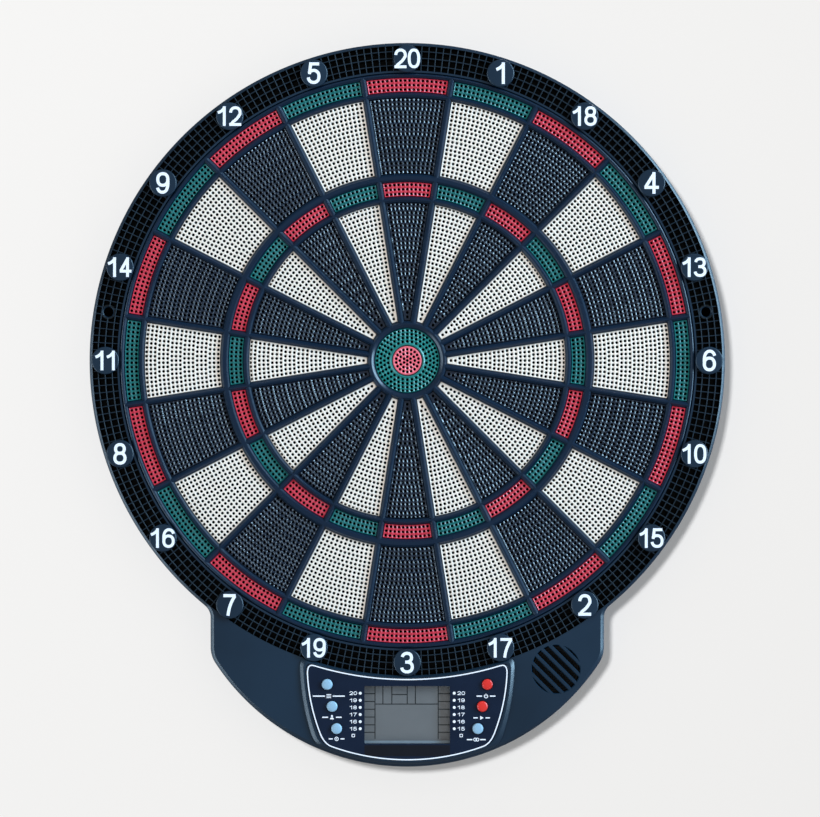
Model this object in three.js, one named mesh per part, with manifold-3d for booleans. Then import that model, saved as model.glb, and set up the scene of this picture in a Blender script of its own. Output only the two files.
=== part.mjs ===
// Electronic soft-tip dartboard with a 15.5 inch target. Millimetres, +Z up, +X to the player's right.
// The origin lies on the wall, straight behind the bull. The wall is the plane Y = 0 and the target
// faces -Y. A depth is a distance out from the wall, so depth d lies at Y = -d.
import * as THREE from 'three';
import { mergeVertices } from 'three/addons/utils/BufferGeometryUtils.js';
import Module from 'manifold-3d';

const wasm = await Module();
wasm.setup();

// ---- Driving dimensions ----

const GAP = 0.3; // between pieces that touch
const WALL = 2.5; // of the large mouldings
const SECTOR = Math.PI / 10; // angle of one of the 20 sectors
const ROUND = 40; // sides of the large circles
const SECTOR_NUMBERS = [20, 1, 18, 4, 13, 6, 10, 15, 2, 17, 3, 19, 7, 16, 8, 11, 14, 9, 12, 5];

// The housing's outline is the round rim joined to a chin that holds the electronics.
const RIM_RADIUS = 219.4;
const CHIN = { sideX: 135.8, filletRadius: 11, cornerRadius: 20, arcRadius: 158.5, arcCentreZ: -122 };
const TARGET_RADIUS = 198.9; // opening in the housing that the spider fills
const CATCH_RING = { inner: 200.2, outer: 217.4, floor: 23, floorWall: 2 };
const NUMBER_DISC = { radius: 10, ring: 209.3 };

// The spider's openings from the rim inwards, and the bars between them.
const RINGS = [
  { inner: 185.3, outer: 195.4 }, // double
  { inner: 129.0, outer: 181.6 }, // outer single
  { inner: 113.3, outer: 123.5 }, // triple
  { inner: 28.6, outer: 109.4 }, // inner single
];
const BAR_HALF_WIDTH = 2.0;
const SEGMENT_CLEARANCE = 0.4;
const SECTOR_FLANGE = { inner: 27, outer: 196.5, margin: 0.25 };
const SPIDER_FLANGE = { inner: 196.9, outer: 202.9 };
const HUB_RADIUS = 22.4;
const BULL = { innerRadius: 10.1, boreRadius: 10.6, outerRadius: 22.0, flangeRadius: 25.6 };
const MAT_RADIUS = 194;
const MATRIX_RADIUS = 196.5;

// Every layer's lowest and highest depth.
const LAYER = {
  coverRibs: [0, 4.2],
  coverPlate: [4, 6.5],
  matrix: [6.8, 7.3],
  mat: [7.6, 8.6],
  segmentFlange: [9.9, 12.4],
  segmentPad: [12.2, 26.6],
  spiderFlange: [12.7, 14.7],
  spider: [12.7, 28.3],
  housing: [0.8, 28],
  mainBoard: [19, 20.6],
  keypad: [20.9, 22],
  keypadDome: [21.8, 24],
  displayStrip: [20.9, 22.4],
  display: [22.7, 26.7],
  buttonFlange: [25.3, 26.6],
  displayWindow: [28.4, 29.3],
  overlay: [29.6, 30.5],
};
const BUTTON_FRONT = 32.4;
const CHIN_ROOF = 25.5; // depth of the chin's inner face
const BLOCK = { roof: 27, top: 30.2 }; // raised block that carries the control panel
const DISC_TOP = 30.6;
const SCREW_BORE_END = 17;

// The pinstripe's line on the control panel. Other outlines on the panel are offsets of it.
const PANEL = { topRadius: 220, bottomRadius: 153.3, upperX: 69, lowerX: 57, bulgeZ: -238, corner: 5 };
const BLOCK_MARGIN = 5.4;
const OVERLAY_MARGIN = 1;
const DISPLAY = { z: -244.4, halfWidth: 29.5, halfHeight: 19.9 };
const WINDOW_MARGIN = 2;
const MODULE_MARGIN = { width: 3.5, height: 2.9 };
const BUTTON = { radius: 3.7, flangeRadius: 5.2, bore: 4.1, edge: 0.8 };
const BUTTONS = [
  { name: 'mode_button', x: -55.2, z: -223.3, colour: 'blue' },
  { name: 'player_button', x: -51.8, z: -238.5, colour: 'blue' },
  { name: 'game_button', x: -48.7, z: -253.8, colour: 'blue' },
  { name: 'power_button', x: 55.2, z: -223.3, colour: 'red' },
  { name: 'start_button', x: 51.8, z: -238.5, colour: 'red' },
  { name: 'double_button', x: 48.7, z: -253.8, colour: 'blue' },
];

const SPEAKER = {
  x: 102.7,
  z: -213.1,
  radius: 16,
  magnetRadius: 8,
  depths: { rear: 13, magnet: 20, basket: 22.2 },
  collar: { inner: 16.4, outer: 17.9, rear: 18 },
};
const GRILLE = { radius: 16.6, slotPitch: 5.7, slotWidth: 3.1, rows: [-3, -2, -1, 0, 1, 2, 3] };
const WALL_SCREW = { x: 206.5, z: 33.6, bore: 3.4, boss: 5.4 };
const COVER_SCREW = {
  shank: 1.25,
  bore: 1.6,
  head: 3,
  face: 2.2,
  boss: 3.6,
  depths: { rear: 1.6, shoulder: 2.3, tip: 16 },
};
const COVER_SCREW_RING = { radius: 208, degreesFromTop: [32, 104, -104, -32] };
const COVER_SCREWS = [
  ...COVER_SCREW_RING.degreesFromTop.map((fromTop) => {
    const angle = THREE.MathUtils.degToRad(90 - fromTop);
    const x = COVER_SCREW_RING.radius * Math.cos(angle);
    const z = COVER_SCREW_RING.radius * Math.sin(angle);
    return { x, z, roof: CATCH_RING.floor - CATCH_RING.floorWall };
  }),
  ...[124, -124].map((x) => ({ x, z: -197, roof: CHIN_ROOF })),
  ...[44, -44].map((x) => ({ x, z: -263, roof: BLOCK.roof })),
];

const COVER = {
  edgeGap: 0.4, // to the housing's wall
  hubRadius: 25,
  ringRibs: { radii: [75, 150], halfWidth: 1.2 },
  radialRibs: { count: 8, halfWidth: 1, from: 20, to: 198 },
  clampRing: { inner: 200, outer: 202.4 }, // presses on the spider's flange
  ribbonNotch: { left: 40, right: 60, bottom: -205, top: -180 },
};

// Three AA cells lie side by side in a tray that opens to the wall side.
const CELL = { radius: 7.2, length: 50.5, pitch: 14.9, depth: 9.9 };
const CELL_END = { rearFace: 6.6, chamfer: 0.6, shoulder: 1.7, nubRadius: 2.7, nubLength: 1.1 };
const TRAY = { halfWidth: 28.4, halfHeight: 22.5, wall: 1.5, roof: 17.4, roofWall: 1.3 };
const DOOR = { margin: 0.6, depths: [0.3, 2.0] };
const CONTACT = { thickness: 0.6, reach: 5, gap: 0.35, tipRadius: 2, baseRadius: 4 };

// The electronics in the chin. Their outlines are lists of [x, z].
const RIBBON = {
  left: 42,
  right: 58,
  thickness: 0.4,
  route: [[7.6, -190.4], [7.6, -214], [18.1, -227], [18.1, -233]], // depth, z
};
const MAIN_BOARD = [[0, -258.6], [56.5, -258.6], [62, -232], [62, -219], [0, -219]];
const KEYPAD = [[43.5, -258], [54.5, -258], [60.5, -219.3], [49.5, -219.3]];
const KEYPAD_DOME_RADIUS = 3.4;
const DISPLAY_STRIP = { halfWidth: 28, bottom: -225, top: -222.5 };

// The leads' routes are points [x, depth, z].
const LEAD_RADIUS = 1;
const SPEAKER_LEAD = [[92.5, 16.5, -219], [84, 15.5, -224], [72, 16, -230], [61, 17.6, -234]];
const BATTERY_LEAD = [[-31.4, 9.9, -254], [-33, 12, -250], [-37, 16, -244], [-42, 17.6, -240]];

// ---- Colours and finishes ----

function plastic(colour, roughness) {
  return new THREE.MeshStandardMaterial({ color: colour, roughness, metalness: 0 });
}

const MATERIALS = {
  navy: plastic(0x22384a, 0.45),
  darkNavy: plastic(0x152230, 0.4),
  cream: plastic(0xf4f4e8, 0.5),
  black: plastic(0x1b2129, 0.45),
  red: plastic(0xc82a46, 0.4),
  green: plastic(0x1e7a6c, 0.4),
  buttonBlue: plastic(0x8fbcd6, 0.4),
  buttonRed: plastic(0xdd3a30, 0.4),
  rubber: plastic(0x2b2b2b, 0.9),
  silicone: plastic(0x9a9a94, 0.8),
  film: plastic(0xb9b08a, 0.5),
  display: plastic(0x6c7479, 0.3),
  window: new THREE.MeshStandardMaterial({
    color: 0xaab4b8,
    roughness: 0.1,
    transparent: true,
    opacity: 0.35,
  }),
  board: plastic(0x1f5a38, 0.6),
  wire: plastic(0x8c1d1d, 0.6),
  cell: plastic(0x2d2d30, 0.4),
  steel: new THREE.MeshStandardMaterial({ color: 0xb8bcc0, roughness: 0.35, metalness: 1 }),
};

// ---- Outlines, as lists of points in the X, Z plane ----

function arcSteps(from, to) {
  return Math.ceil((Math.abs(to - from) / (2 * Math.PI)) * ROUND - 1e-6);
}

function arc(x, z, radius, from, to, count = arcSteps(from, to)) {
  return Array.from({ length: count + 1 }, (_, i) => {
    const angle = from + ((to - from) * i) / count;
    return new THREE.Vector2(x + radius * Math.cos(angle), z + radius * Math.sin(angle));
  });
}

function circle(x, z, radius, sides) {
  return arc(x, z, radius, 0, 2 * Math.PI, sides).slice(0, sides);
}

function outlineOf(pairs) {
  return pairs.map(([x, z]) => new THREE.Vector2(x, z));
}

function rectangle(left, right, bottom, top) {
  return outlineOf([[left, bottom], [right, bottom], [right, top], [left, top]]);
}

function turned(points, angle) {
  return points.map((point) => point.clone().rotateAround(new THREE.Vector2(), angle));
}

function closedByMirror(rightHalf) {
  const leftHalf = rightHalf.slice(1, -1).reverse();
  return [...rightHalf, ...leftHalf.map((point) => new THREE.Vector2(-point.x, point.y))];
}

function housingOutline(inset) {
  const { sideX, filletRadius, cornerRadius, arcRadius, arcCentreZ } = CHIN;
  const filletX = sideX + filletRadius;
  const filletZ = -Math.sqrt((RIM_RADIUS + filletRadius) ** 2 - filletX ** 2);
  const cornerX = sideX - cornerRadius;
  const cornerZ = arcCentreZ - Math.sqrt((arcRadius - cornerRadius) ** 2 - cornerX ** 2);
  const rimAngle = Math.atan2(filletZ, filletX);
  const cornerAngle = Math.atan2(cornerZ - arcCentreZ, cornerX);
  return closedByMirror([
    ...arc(0, arcCentreZ, arcRadius - inset, -Math.PI / 2, cornerAngle),
    ...arc(cornerX, cornerZ, cornerRadius - inset, cornerAngle, 0, 4).slice(1),
    ...arc(filletX, filletZ, filletRadius + inset, Math.PI, Math.PI + rimAngle, 4),
    ...arc(0, 0, RIM_RADIUS - inset, rimAngle, Math.PI / 2).slice(1),
  ]);
}

// One opening or pad of the target, symmetric about +Z: two arcs, joined by sides that run parallel
// to the sector's edges at a distance of margin inside them. A short inner arc is one straight step.
function cellOutline(inner, outer, margin) {
  const halfAngle = (radius) => SECTOR / 2 - Math.asin(margin / radius);
  const middle = Math.PI / 2;
  const innerSteps = inner > 100 ? 2 : 1;
  return [
    ...arc(0, 0, outer, middle - halfAngle(outer), middle + halfAngle(outer), 2),
    ...arc(0, 0, inner, middle + halfAngle(inner), middle - halfAngle(inner), innerSteps),
  ];
}

// The control panel's pinstripe line, grown by margin. The growth is widest at the lower corners.
function panelOutline(margin) {
  const { upperX, lowerX, bulgeZ, corner } = PANEL;
  const topRadius = PANEL.topRadius - 0.48 * margin;
  const bottomRadius = PANEL.bottomRadius + 0.6 * margin;
  const upper = new THREE.Vector2(upperX + margin, 0);
  upper.y = -Math.sqrt(topRadius ** 2 - upper.x ** 2);
  const lower = new THREE.Vector2(lowerX + 1.25 * margin, 0);
  lower.y = CHIN.arcCentreZ - Math.sqrt(bottomRadius ** 2 - lower.x ** 2);
  const side = new THREE.QuadraticBezierCurve(lower, new THREE.Vector2(upper.x, bulgeZ), upper);
  const sidePoints = [0.12, 0.31, 0.5, 0.69, 0.88].map((t) => side.getPoint(t));
  const bottomEnd = Math.atan2(lower.y - CHIN.arcCentreZ, lower.x) - corner / bottomRadius;
  const topStart = Math.atan2(upper.y, upper.x) - corner / topRadius;
  const bottom = arc(0, CHIN.arcCentreZ, bottomRadius, -Math.PI / 2, bottomEnd);
  const top = arc(0, 0, topRadius, topStart, -Math.PI / 2);
  const lowerCorner = new THREE.QuadraticBezierCurve(bottom.at(-1), lower, sidePoints[0]);
  const upperCorner = new THREE.QuadraticBezierCurve(sidePoints.at(-1), upper, top[0]);
  return closedByMirror([
    ...bottom,
    ...lowerCorner.getPoints(3).slice(1, -1),
    ...sidePoints,
    ...upperCorner.getPoints(3).slice(1, -1),
    ...top,
  ]);
}

// ---- Solids ----

function solid(geometry) {
  geometry.deleteAttribute('normal');
  geometry.deleteAttribute('uv');
  const merged = mergeVertices(geometry);
  return new wasm.Manifold(new wasm.Mesh({
    numProp: 3,
    vertProperties: new Float32Array(merged.attributes.position.array),
    triVerts: new Uint32Array(merged.index.array),
  }));
}

function prism(points, [from, to], holes = []) {
  const shape = new THREE.Shape(points);
  shape.holes = holes.map((hole) => new THREE.Path(hole));
  const geometry = new THREE.ExtrudeGeometry(shape, { depth: to - from, bevelEnabled: false });
  return solid(geometry.translate(0, 0, from).rotateX(Math.PI / 2));
}

function rod(x, z, radius, depths, sides = 12) {
  return prism(circle(x, z, radius, sides), depths);
}

function tube(x, z, inner, outer, depths, sides = 12) {
  return prism(circle(x, z, outer, sides), depths, [circle(x, z, inner, sides)]);
}

// A solid of revolution about the line through x, z. The profile's points are [radius, depth].
function turnedSolid(profile, x, z, sides = 16) {
  const points = profile.map(([radius, depth]) => new THREE.Vector2(radius, depth));
  return solid(new THREE.LatheGeometry(points, sides).rotateX(Math.PI).translate(x, 0, z));
}

function joined(solids) {
  return solids.reduce((whole, piece) => whole.add(piece));
}

function cutFrom(whole, solids) {
  return solids.reduce((rest, piece) => rest.subtract(piece), whole);
}

// A round lead through points given as [x, depth, z].
function lead(points, radius) {
  const curve = new THREE.CatmullRomCurve3(points.map(([x, depth, z]) => new THREE.Vector3(x, -depth, z)));
  const section = new THREE.Shape(circle(0, 0, radius, 8));
  return solid(new THREE.ExtrudeGeometry(section, { steps: 12, extrudePath: curve }));
}

// ---- The assembly ----

const board = new THREE.Group();

function addGeometry(name, geometry, material) {
  const mesh = new THREE.Mesh(geometry, material);
  mesh.name = name;
  board.add(mesh);
  return mesh;
}

function geometryOf(whole) {
  const { vertProperties, triVerts } = whole.getMesh();
  const geometry = new THREE.BufferGeometry();
  geometry.setAttribute('position', new THREE.BufferAttribute(new Float32Array(vertProperties), 3));
  geometry.setIndex(new THREE.BufferAttribute(new Uint32Array(triVerts), 1));
  geometry.computeVertexNormals();
  return geometry;
}

function add(name, whole, material) {
  addGeometry(name, geometryOf(whole), material);
}

// -- Front housing: rim, catch ring with its number discs, chin, panel block, screw bosses --

function speakerSlots(depths) {
  const centre = new THREE.Vector2(SPEAKER.x, SPEAKER.z);
  const disc = rod(centre.x, centre.y, GRILLE.radius, depths, 16);
  const reach = GRILLE.radius + 1;
  const slots = GRILLE.rows.map((row) => {
    const middle = row * GRILLE.slotPitch;
    const slot = rectangle(-reach, reach, middle - GRILLE.slotWidth / 2, middle + GRILLE.slotWidth / 2);
    return prism(turned(slot, -Math.PI / 4).map((point) => point.add(centre)), depths);
  });
  return joined(slots).intersect(disc);
}

function frontHousing() {
  const [rear, front] = LAYER.housing;
  const behind = rear - 1;
  const beyond = BLOCK.top + 5;
  const floorBack = CATCH_RING.floor - CATCH_RING.floorWall;
  const block = prism(panelOutline(BLOCK_MARGIN), [front - 1, BLOCK.top]);
  const inside = prism(housingOutline(WALL), [behind, floorBack]);
  const chinSpace = prism(housingOutline(WALL), [floorBack - 1, CHIN_ROOF])
    .subtract(rod(0, 0, RIM_RADIUS, [0, beyond], ROUND));
  const blockSpace = prism(panelOutline(BLOCK_MARGIN - WALL), [CHIN_ROOF - 1, BLOCK.roof])
    .subtract(rod(0, 0, RIM_RADIUS, [0, beyond], ROUND));
  const channel = tube(0, 0, CATCH_RING.inner, CATCH_RING.outer, [CATCH_RING.floor, beyond], ROUND);
  const shell = cutFrom(prism(housingOutline(0), [rear, front]).add(block), [
    inside,
    chinSpace,
    blockSpace,
    channel,
    rod(0, 0, TARGET_RADIUS, [behind, beyond], ROUND),
  ]);

  const bosses = [
    tube(0, 0, TARGET_RADIUS, CATCH_RING.inner + 1, [LAYER.spiderFlange[1] + GAP, floorBack + 1], ROUND),
    ...SECTOR_NUMBERS.map((_, i) => {
      const angle = Math.PI / 2 - i * SECTOR;
      const x = NUMBER_DISC.ring * Math.cos(angle);
      const z = NUMBER_DISC.ring * Math.sin(angle);
      return rod(x, z, NUMBER_DISC.radius, [floorBack + 1, DISC_TOP]);
    }),
    ...[-1, 1].map((side) => rod(side * WALL_SCREW.x, WALL_SCREW.z, WALL_SCREW.boss,
      [LAYER.coverPlate[1] + GAP, front])),
    ...COVER_SCREWS.map(({ x, z, roof }) => rod(x, z, COVER_SCREW.boss,
      [LAYER.coverPlate[1] + GAP, roof + 1], 8)),
    tube(SPEAKER.x, SPEAKER.z, SPEAKER.collar.inner, SPEAKER.collar.outer,
      [SPEAKER.collar.rear, CHIN_ROOF + 1], 16),
  ];
  return cutFrom(joined([shell, ...bosses]), [
    prism(panelOutline(OVERLAY_MARGIN + GAP), [LAYER.overlay[0] - GAP, beyond]),
    displayBox(WINDOW_MARGIN + GAP, WINDOW_MARGIN + GAP, [LAYER.displayWindow[0] - GAP, beyond]),
    displayBox(0, 0, [CHIN_ROOF - 1, beyond]),
    ...BUTTONS.map((button) => rod(button.x, button.z, BUTTON.bore, [CHIN_ROOF - 1, beyond], 12)),
    ...[-1, 1].map((side) => rod(side * WALL_SCREW.x, WALL_SCREW.z, WALL_SCREW.bore, [behind, beyond])),
    ...COVER_SCREWS.map((screw) => rod(screw.x, screw.z, COVER_SCREW.bore, [behind, SCREW_BORE_END], 8)),
    speakerSlots([CHIN_ROOF - 1, beyond]),
  ]);
}

add('front_housing', frontHousing(), MATERIALS.navy);

// -- Spider: ring bars and radial bars, with a flange that the rear cover clamps --

function spider() {
  const openings = SECTOR_NUMBERS.flatMap((_, i) => RINGS.map(({ inner, outer }) => (
    turned(cellOutline(inner, outer, BAR_HALF_WIDTH), i * SECTOR)
  )));
  const web = prism(circle(0, 0, TARGET_RADIUS - GAP, ROUND), LAYER.spider,
    [...openings, circle(0, 0, HUB_RADIUS, 20)]);
  return web.add(tube(0, 0, SPIDER_FLANGE.inner, SPIDER_FLANGE.outer, LAYER.spiderFlange, ROUND));
}

add('spider', spider(), MATERIALS.navy);

// -- Target: each sector's four pads stand on one flange behind the spider --

function sector() {
  const margin = BAR_HALF_WIDTH + SEGMENT_CLEARANCE;
  const { inner, outer } = SECTOR_FLANGE;
  const flange = prism(cellOutline(inner, outer, SECTOR_FLANGE.margin), LAYER.segmentFlange);
  const pads = RINGS.map((ring) => prism(
    cellOutline(ring.inner + SEGMENT_CLEARANCE, ring.outer - SEGMENT_CLEARANCE, margin),
    LAYER.segmentPad,
  ));
  return joined([flange, ...pads]);
}

const sectorGeometry = geometryOf(sector());
SECTOR_NUMBERS.forEach((number, i) => {
  const material = i % 2 ? MATERIALS.cream : MATERIALS.black;
  const mesh = addGeometry(`sector_${number}`, sectorGeometry, material);
  mesh.rotation.y = i * SECTOR; // clockwise, as the player sees it
});

const bullOuter = rod(0, 0, BULL.outerRadius, LAYER.segmentPad, 20)
  .add(rod(0, 0, BULL.flangeRadius, LAYER.segmentFlange, 20))
  .subtract(rod(0, 0, BULL.boreRadius, [LAYER.mat[0], LAYER.spider[1]], 16));
add('bull_outer', bullOuter, MATERIALS.green);
add('bull_inner', rod(0, 0, BULL.innerRadius, [LAYER.segmentFlange[0], LAYER.segmentPad[1]]), MATERIALS.red);

// -- Sensor layers behind the target --

add('rubber_mat', rod(0, 0, MAT_RADIUS, LAYER.mat, ROUND), MATERIALS.rubber);
add('switch_matrix', rod(0, 0, MATRIX_RADIUS, LAYER.matrix, ROUND), MATERIALS.film);

// The flat tail runs down from the matrix's edge and rises to the back of the main board.
function matrixRibbon() {
  const { left, right, thickness, route } = RIBBON;
  const rearSide = route.map(([depth, z]) => new THREE.Vector2(-depth, z));
  const frontSide = route.map(([depth, z]) => new THREE.Vector2(-depth - thickness, z)).reverse();
  const geometry = new THREE.ExtrudeGeometry(new THREE.Shape([...rearSide, ...frontSide]),
    { depth: right - left, bevelEnabled: false });
  const extrudedAlongX = new THREE.Matrix4().set(0, 0, 1, left, 1, 0, 0, 0, 0, 1, 0, 0, 0, 0, 0, 1);
  return solid(geometry.applyMatrix4(extrudedAlongX));
}

add('matrix_ribbon', matrixRibbon(), MATERIALS.film);

// -- Rear cover: plate with stiffening ribs, clamping ring, battery tray and screw holes --

function trayBox(halfWidth, halfHeight, depths) {
  return prism(rectangle(-halfWidth, halfWidth, DISPLAY.z - halfHeight, DISPLAY.z + halfHeight), depths);
}

function rearCover() {
  const edge = WALL + COVER.edgeGap;
  const plate = prism(housingOutline(edge), LAYER.coverPlate);
  const rim = prism(housingOutline(edge), LAYER.coverRibs, [housingOutline(edge + WALL)]);
  const { radii, halfWidth: ringHalf } = COVER.ringRibs;
  const ringRibs = radii.map((radius) => (
    tube(0, 0, radius - ringHalf, radius + ringHalf, LAYER.coverRibs, 32)
  ));
  const { count, halfWidth: ribHalf, from, to } = COVER.radialRibs;
  const radialRib = rectangle(-ribHalf, ribHalf, from, to);
  const radialRibs = Array.from({ length: count }, (_, i) => (
    prism(turned(radialRib, (i + 0.5) * ((2 * Math.PI) / count)), LAYER.coverRibs)
  ));
  const wallBosses = [-1, 1].map((side) => rod(side * WALL_SCREW.x, WALL_SCREW.z, WALL_SCREW.boss,
    LAYER.coverRibs));
  const clampRing = tube(0, 0, COVER.clampRing.inner, COVER.clampRing.outer,
    [LAYER.coverPlate[1] - 1, LAYER.spiderFlange[0] - GAP], ROUND);
  const { halfWidth, halfHeight, wall, roof, roofWall } = TRAY;
  const { left, right, bottom, top } = COVER.ribbonNotch;
  const inFront = LAYER.housing[1];
  const whole = joined([
    plate,
    rim,
    rod(0, 0, COVER.hubRadius, LAYER.coverRibs),
    ...ringRibs,
    ...radialRibs,
    ...wallBosses,
    clampRing,
    trayBox(halfWidth + wall, halfHeight + wall, [0, roof + roofWall]),
  ]);
  return cutFrom(whole, [
    trayBox(halfWidth, halfHeight, [-1, roof]),
    prism(rectangle(left, right, bottom, top), [LAYER.coverPlate[1], inFront]),
    ...[-1, 1].map((side) => rod(side * WALL_SCREW.x, WALL_SCREW.z, WALL_SCREW.bore, [-1, inFront])),
    ...COVER_SCREWS.map(({ x, z }) => rod(x, z, COVER_SCREW.bore, [-1, inFront], 8)),
  ]);
}

add('rear_cover', rearCover(), MATERIALS.darkNavy);

COVER_SCREWS.forEach(({ x, z }, i) => {
  const { head, face, shank } = COVER_SCREW;
  const { rear, shoulder, tip } = COVER_SCREW.depths;
  const seat = LAYER.coverPlate[0] - GAP;
  const profile = [
    [0, rear],
    [face, rear],
    [head, shoulder],
    [head, seat],
    [shank, seat],
    [shank, tip - 1],
    [0, tip],
  ];
  add(`cover_screw_${i + 1}`, turnedSolid(profile, x, z, 8), MATERIALS.steel);
});

// -- Battery tray's contents and its door --

// Turns a solid of revolution about +X and stands it on one row of the tray. Depths are relative.
function turnedAlongX(profile, row, sides) {
  const points = profile.map(([radius, x]) => new THREE.Vector2(radius, x));
  const geometry = new THREE.LatheGeometry(points, sides).rotateZ(-Math.PI / 2);
  return solid(geometry.translate(0, 0, row * CELL.pitch));
}

// Places a piece of the tray, turned half round about +Z where it faces the other way.
function addToTray(name, whole, material, faces) {
  const mesh = addGeometry(name, geometryOf(whole), material);
  mesh.position.set(0, -CELL.depth, DISPLAY.z);
  mesh.rotation.z = faces < 0 ? Math.PI : 0;
}

const cellEnd = CELL.length / 2;
const cellProfile = [
  [0, -cellEnd],
  [CELL_END.rearFace, -cellEnd],
  [CELL.radius, -cellEnd + CELL_END.chamfer],
  [CELL.radius, cellEnd - CELL_END.shoulder],
  [CELL_END.nubRadius, cellEnd - CELL_END.nubLength],
  [CELL_END.nubRadius, cellEnd],
  [0, cellEnd],
];
[1, 0, -1].forEach((row, i) => {
  addToTray(`battery_cell_${i + 1}`, turnedAlongX(cellProfile, row, 16), MATERIALS.cell, i % 2 ? -1 : 1);
});

// A contact plate stands at one end of the tray and presses a cone on each cell that it joins.
function batteryContact(rows) {
  const { thickness, reach, gap, tipRadius, baseRadius } = CONTACT;
  const plateX = TRAY.halfWidth - GAP;
  const heights = rows.map((row) => row * CELL.pitch);
  const bottom = Math.min(...heights) - reach;
  const top = Math.max(...heights) + reach;
  const plate = prism(rectangle(plateX - thickness, plateX, bottom, top), [-reach, reach]);
  const tip = cellEnd + gap;
  const base = plateX - thickness / 2;
  const cone = [[0, tip], [tipRadius, tip], [baseRadius, base], [0, base]];
  return joined([plate, ...rows.map((row) => turnedAlongX(cone, row, 8))]);
}

addToTray('contact_plus', batteryContact([1]), MATERIALS.steel, 1);
addToTray('contact_link_right', batteryContact([0, -1]), MATERIALS.steel, 1);
addToTray('contact_link_left', batteryContact([1, 0]), MATERIALS.steel, -1);
addToTray('contact_minus', batteryContact([-1]), MATERIALS.steel, -1);

add('battery_door', trayBox(TRAY.halfWidth - DOOR.margin, TRAY.halfHeight - DOOR.margin, DOOR.depths),
  MATERIALS.darkNavy);

// -- Electronics in the chin --

add('main_board', prism(closedByMirror(outlineOf(MAIN_BOARD)), LAYER.mainBoard), MATERIALS.board);

// One silicone mat lies under each column of three buttons, with a dome under each of them.
function keypadMat(side) {
  const outline = outlineOf(KEYPAD.map(([x, z]) => [side * x, z]));
  const near = BUTTONS.filter(({ x }) => x * side > 0);
  const domes = near.map(({ x, z }) => rod(x, z, KEYPAD_DOME_RADIUS, LAYER.keypadDome));
  return joined([prism(outline, LAYER.keypad), ...domes]);
}

add('keypad_mat_left', keypadMat(-1), MATERIALS.silicone);
add('keypad_mat_right', keypadMat(1), MATERIALS.silicone);

function displayBox(widthMargin, heightMargin, depths) {
  const { z, halfWidth, halfHeight } = DISPLAY;
  const width = halfWidth + widthMargin;
  const height = halfHeight + heightMargin;
  return prism(rectangle(-width, width, z - height, z + height), depths);
}

const { halfWidth: stripHalf, bottom: stripBottom, top: stripTop } = DISPLAY_STRIP;
const stripOutline = rectangle(-stripHalf, stripHalf, stripBottom, stripTop);
const moduleSolid = displayBox(MODULE_MARGIN.width, MODULE_MARGIN.height, LAYER.display);
add('display_strip', prism(stripOutline, LAYER.displayStrip), MATERIALS.silicone);
add('display_module', moduleSolid, MATERIALS.display);
add('display_window', displayBox(WINDOW_MARGIN, WINDOW_MARGIN, LAYER.displayWindow), MATERIALS.window);

const overlayHoles = BUTTONS.map(({ x, z }) => circle(x, z, BUTTON.bore, 12));
const overlay = prism(panelOutline(OVERLAY_MARGIN), LAYER.overlay, overlayHoles)
  .subtract(displayBox(0, 0, [LAYER.overlay[0] - 1, LAYER.overlay[1] + 1]));
add('control_panel', overlay, MATERIALS.darkNavy);

BUTTONS.forEach(({ name, x, z, colour }) => {
  const [flangeRear, flangeFront] = LAYER.buttonFlange;
  const { radius, flangeRadius, edge } = BUTTON;
  const front = BUTTON_FRONT;
  const profile = [
    [0, flangeRear],
    [flangeRadius, flangeRear],
    [flangeRadius, flangeFront],
    [radius, flangeFront],
    [radius, front - edge],
    [radius - edge, front],
    [0, front],
  ];
  add(name, turnedSolid(profile, x, z), colour === 'red' ? MATERIALS.buttonRed : MATERIALS.buttonBlue);
});

const speakerFront = CHIN_ROOF - GAP;
const speakerDepths = SPEAKER.depths;
const speakerProfile = [
  [0, speakerDepths.rear],
  [SPEAKER.magnetRadius, speakerDepths.rear],
  [SPEAKER.magnetRadius, speakerDepths.magnet],
  [SPEAKER.magnetRadius * 1.5, speakerDepths.basket],
  [SPEAKER.radius, speakerDepths.basket],
  [SPEAKER.radius, speakerFront],
  [0, speakerFront],
];
add('speaker', turnedSolid(speakerProfile, SPEAKER.x, SPEAKER.z), MATERIALS.rubber);
add('speaker_lead', lead(SPEAKER_LEAD, LEAD_RADIUS), MATERIALS.wire);
add('battery_lead', lead(BATTERY_LEAD, LEAD_RADIUS), MATERIALS.wire);

export default board;
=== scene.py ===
import math

import bmesh
import bpy
import numpy as np
from mathutils import Matrix, Vector
from mathutils.geometry import delaunay_2d_cdt


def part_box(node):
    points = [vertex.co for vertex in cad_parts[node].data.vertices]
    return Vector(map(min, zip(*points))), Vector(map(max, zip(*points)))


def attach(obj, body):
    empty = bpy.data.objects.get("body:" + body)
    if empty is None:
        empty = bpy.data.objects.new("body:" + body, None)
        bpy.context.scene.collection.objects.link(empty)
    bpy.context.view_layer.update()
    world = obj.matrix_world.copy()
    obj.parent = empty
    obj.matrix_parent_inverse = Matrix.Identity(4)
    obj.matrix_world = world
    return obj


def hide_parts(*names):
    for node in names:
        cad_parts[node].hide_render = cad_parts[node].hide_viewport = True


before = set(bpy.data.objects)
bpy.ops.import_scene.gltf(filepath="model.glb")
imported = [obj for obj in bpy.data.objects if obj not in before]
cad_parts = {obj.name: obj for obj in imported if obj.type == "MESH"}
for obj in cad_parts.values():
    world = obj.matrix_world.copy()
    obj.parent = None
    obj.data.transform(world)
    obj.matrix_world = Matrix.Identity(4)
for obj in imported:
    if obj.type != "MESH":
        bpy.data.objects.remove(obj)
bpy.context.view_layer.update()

# An electronic dartboard. Sizes are in millimetres here and become metres as the meshes are made.
# X points to the player's right and Z up. A depth is a distance out from the wall, so depth d lies at Y = -d.
# Angles on the target are clockwise from the top, as the player sees it.
MM = 0.001
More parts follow.
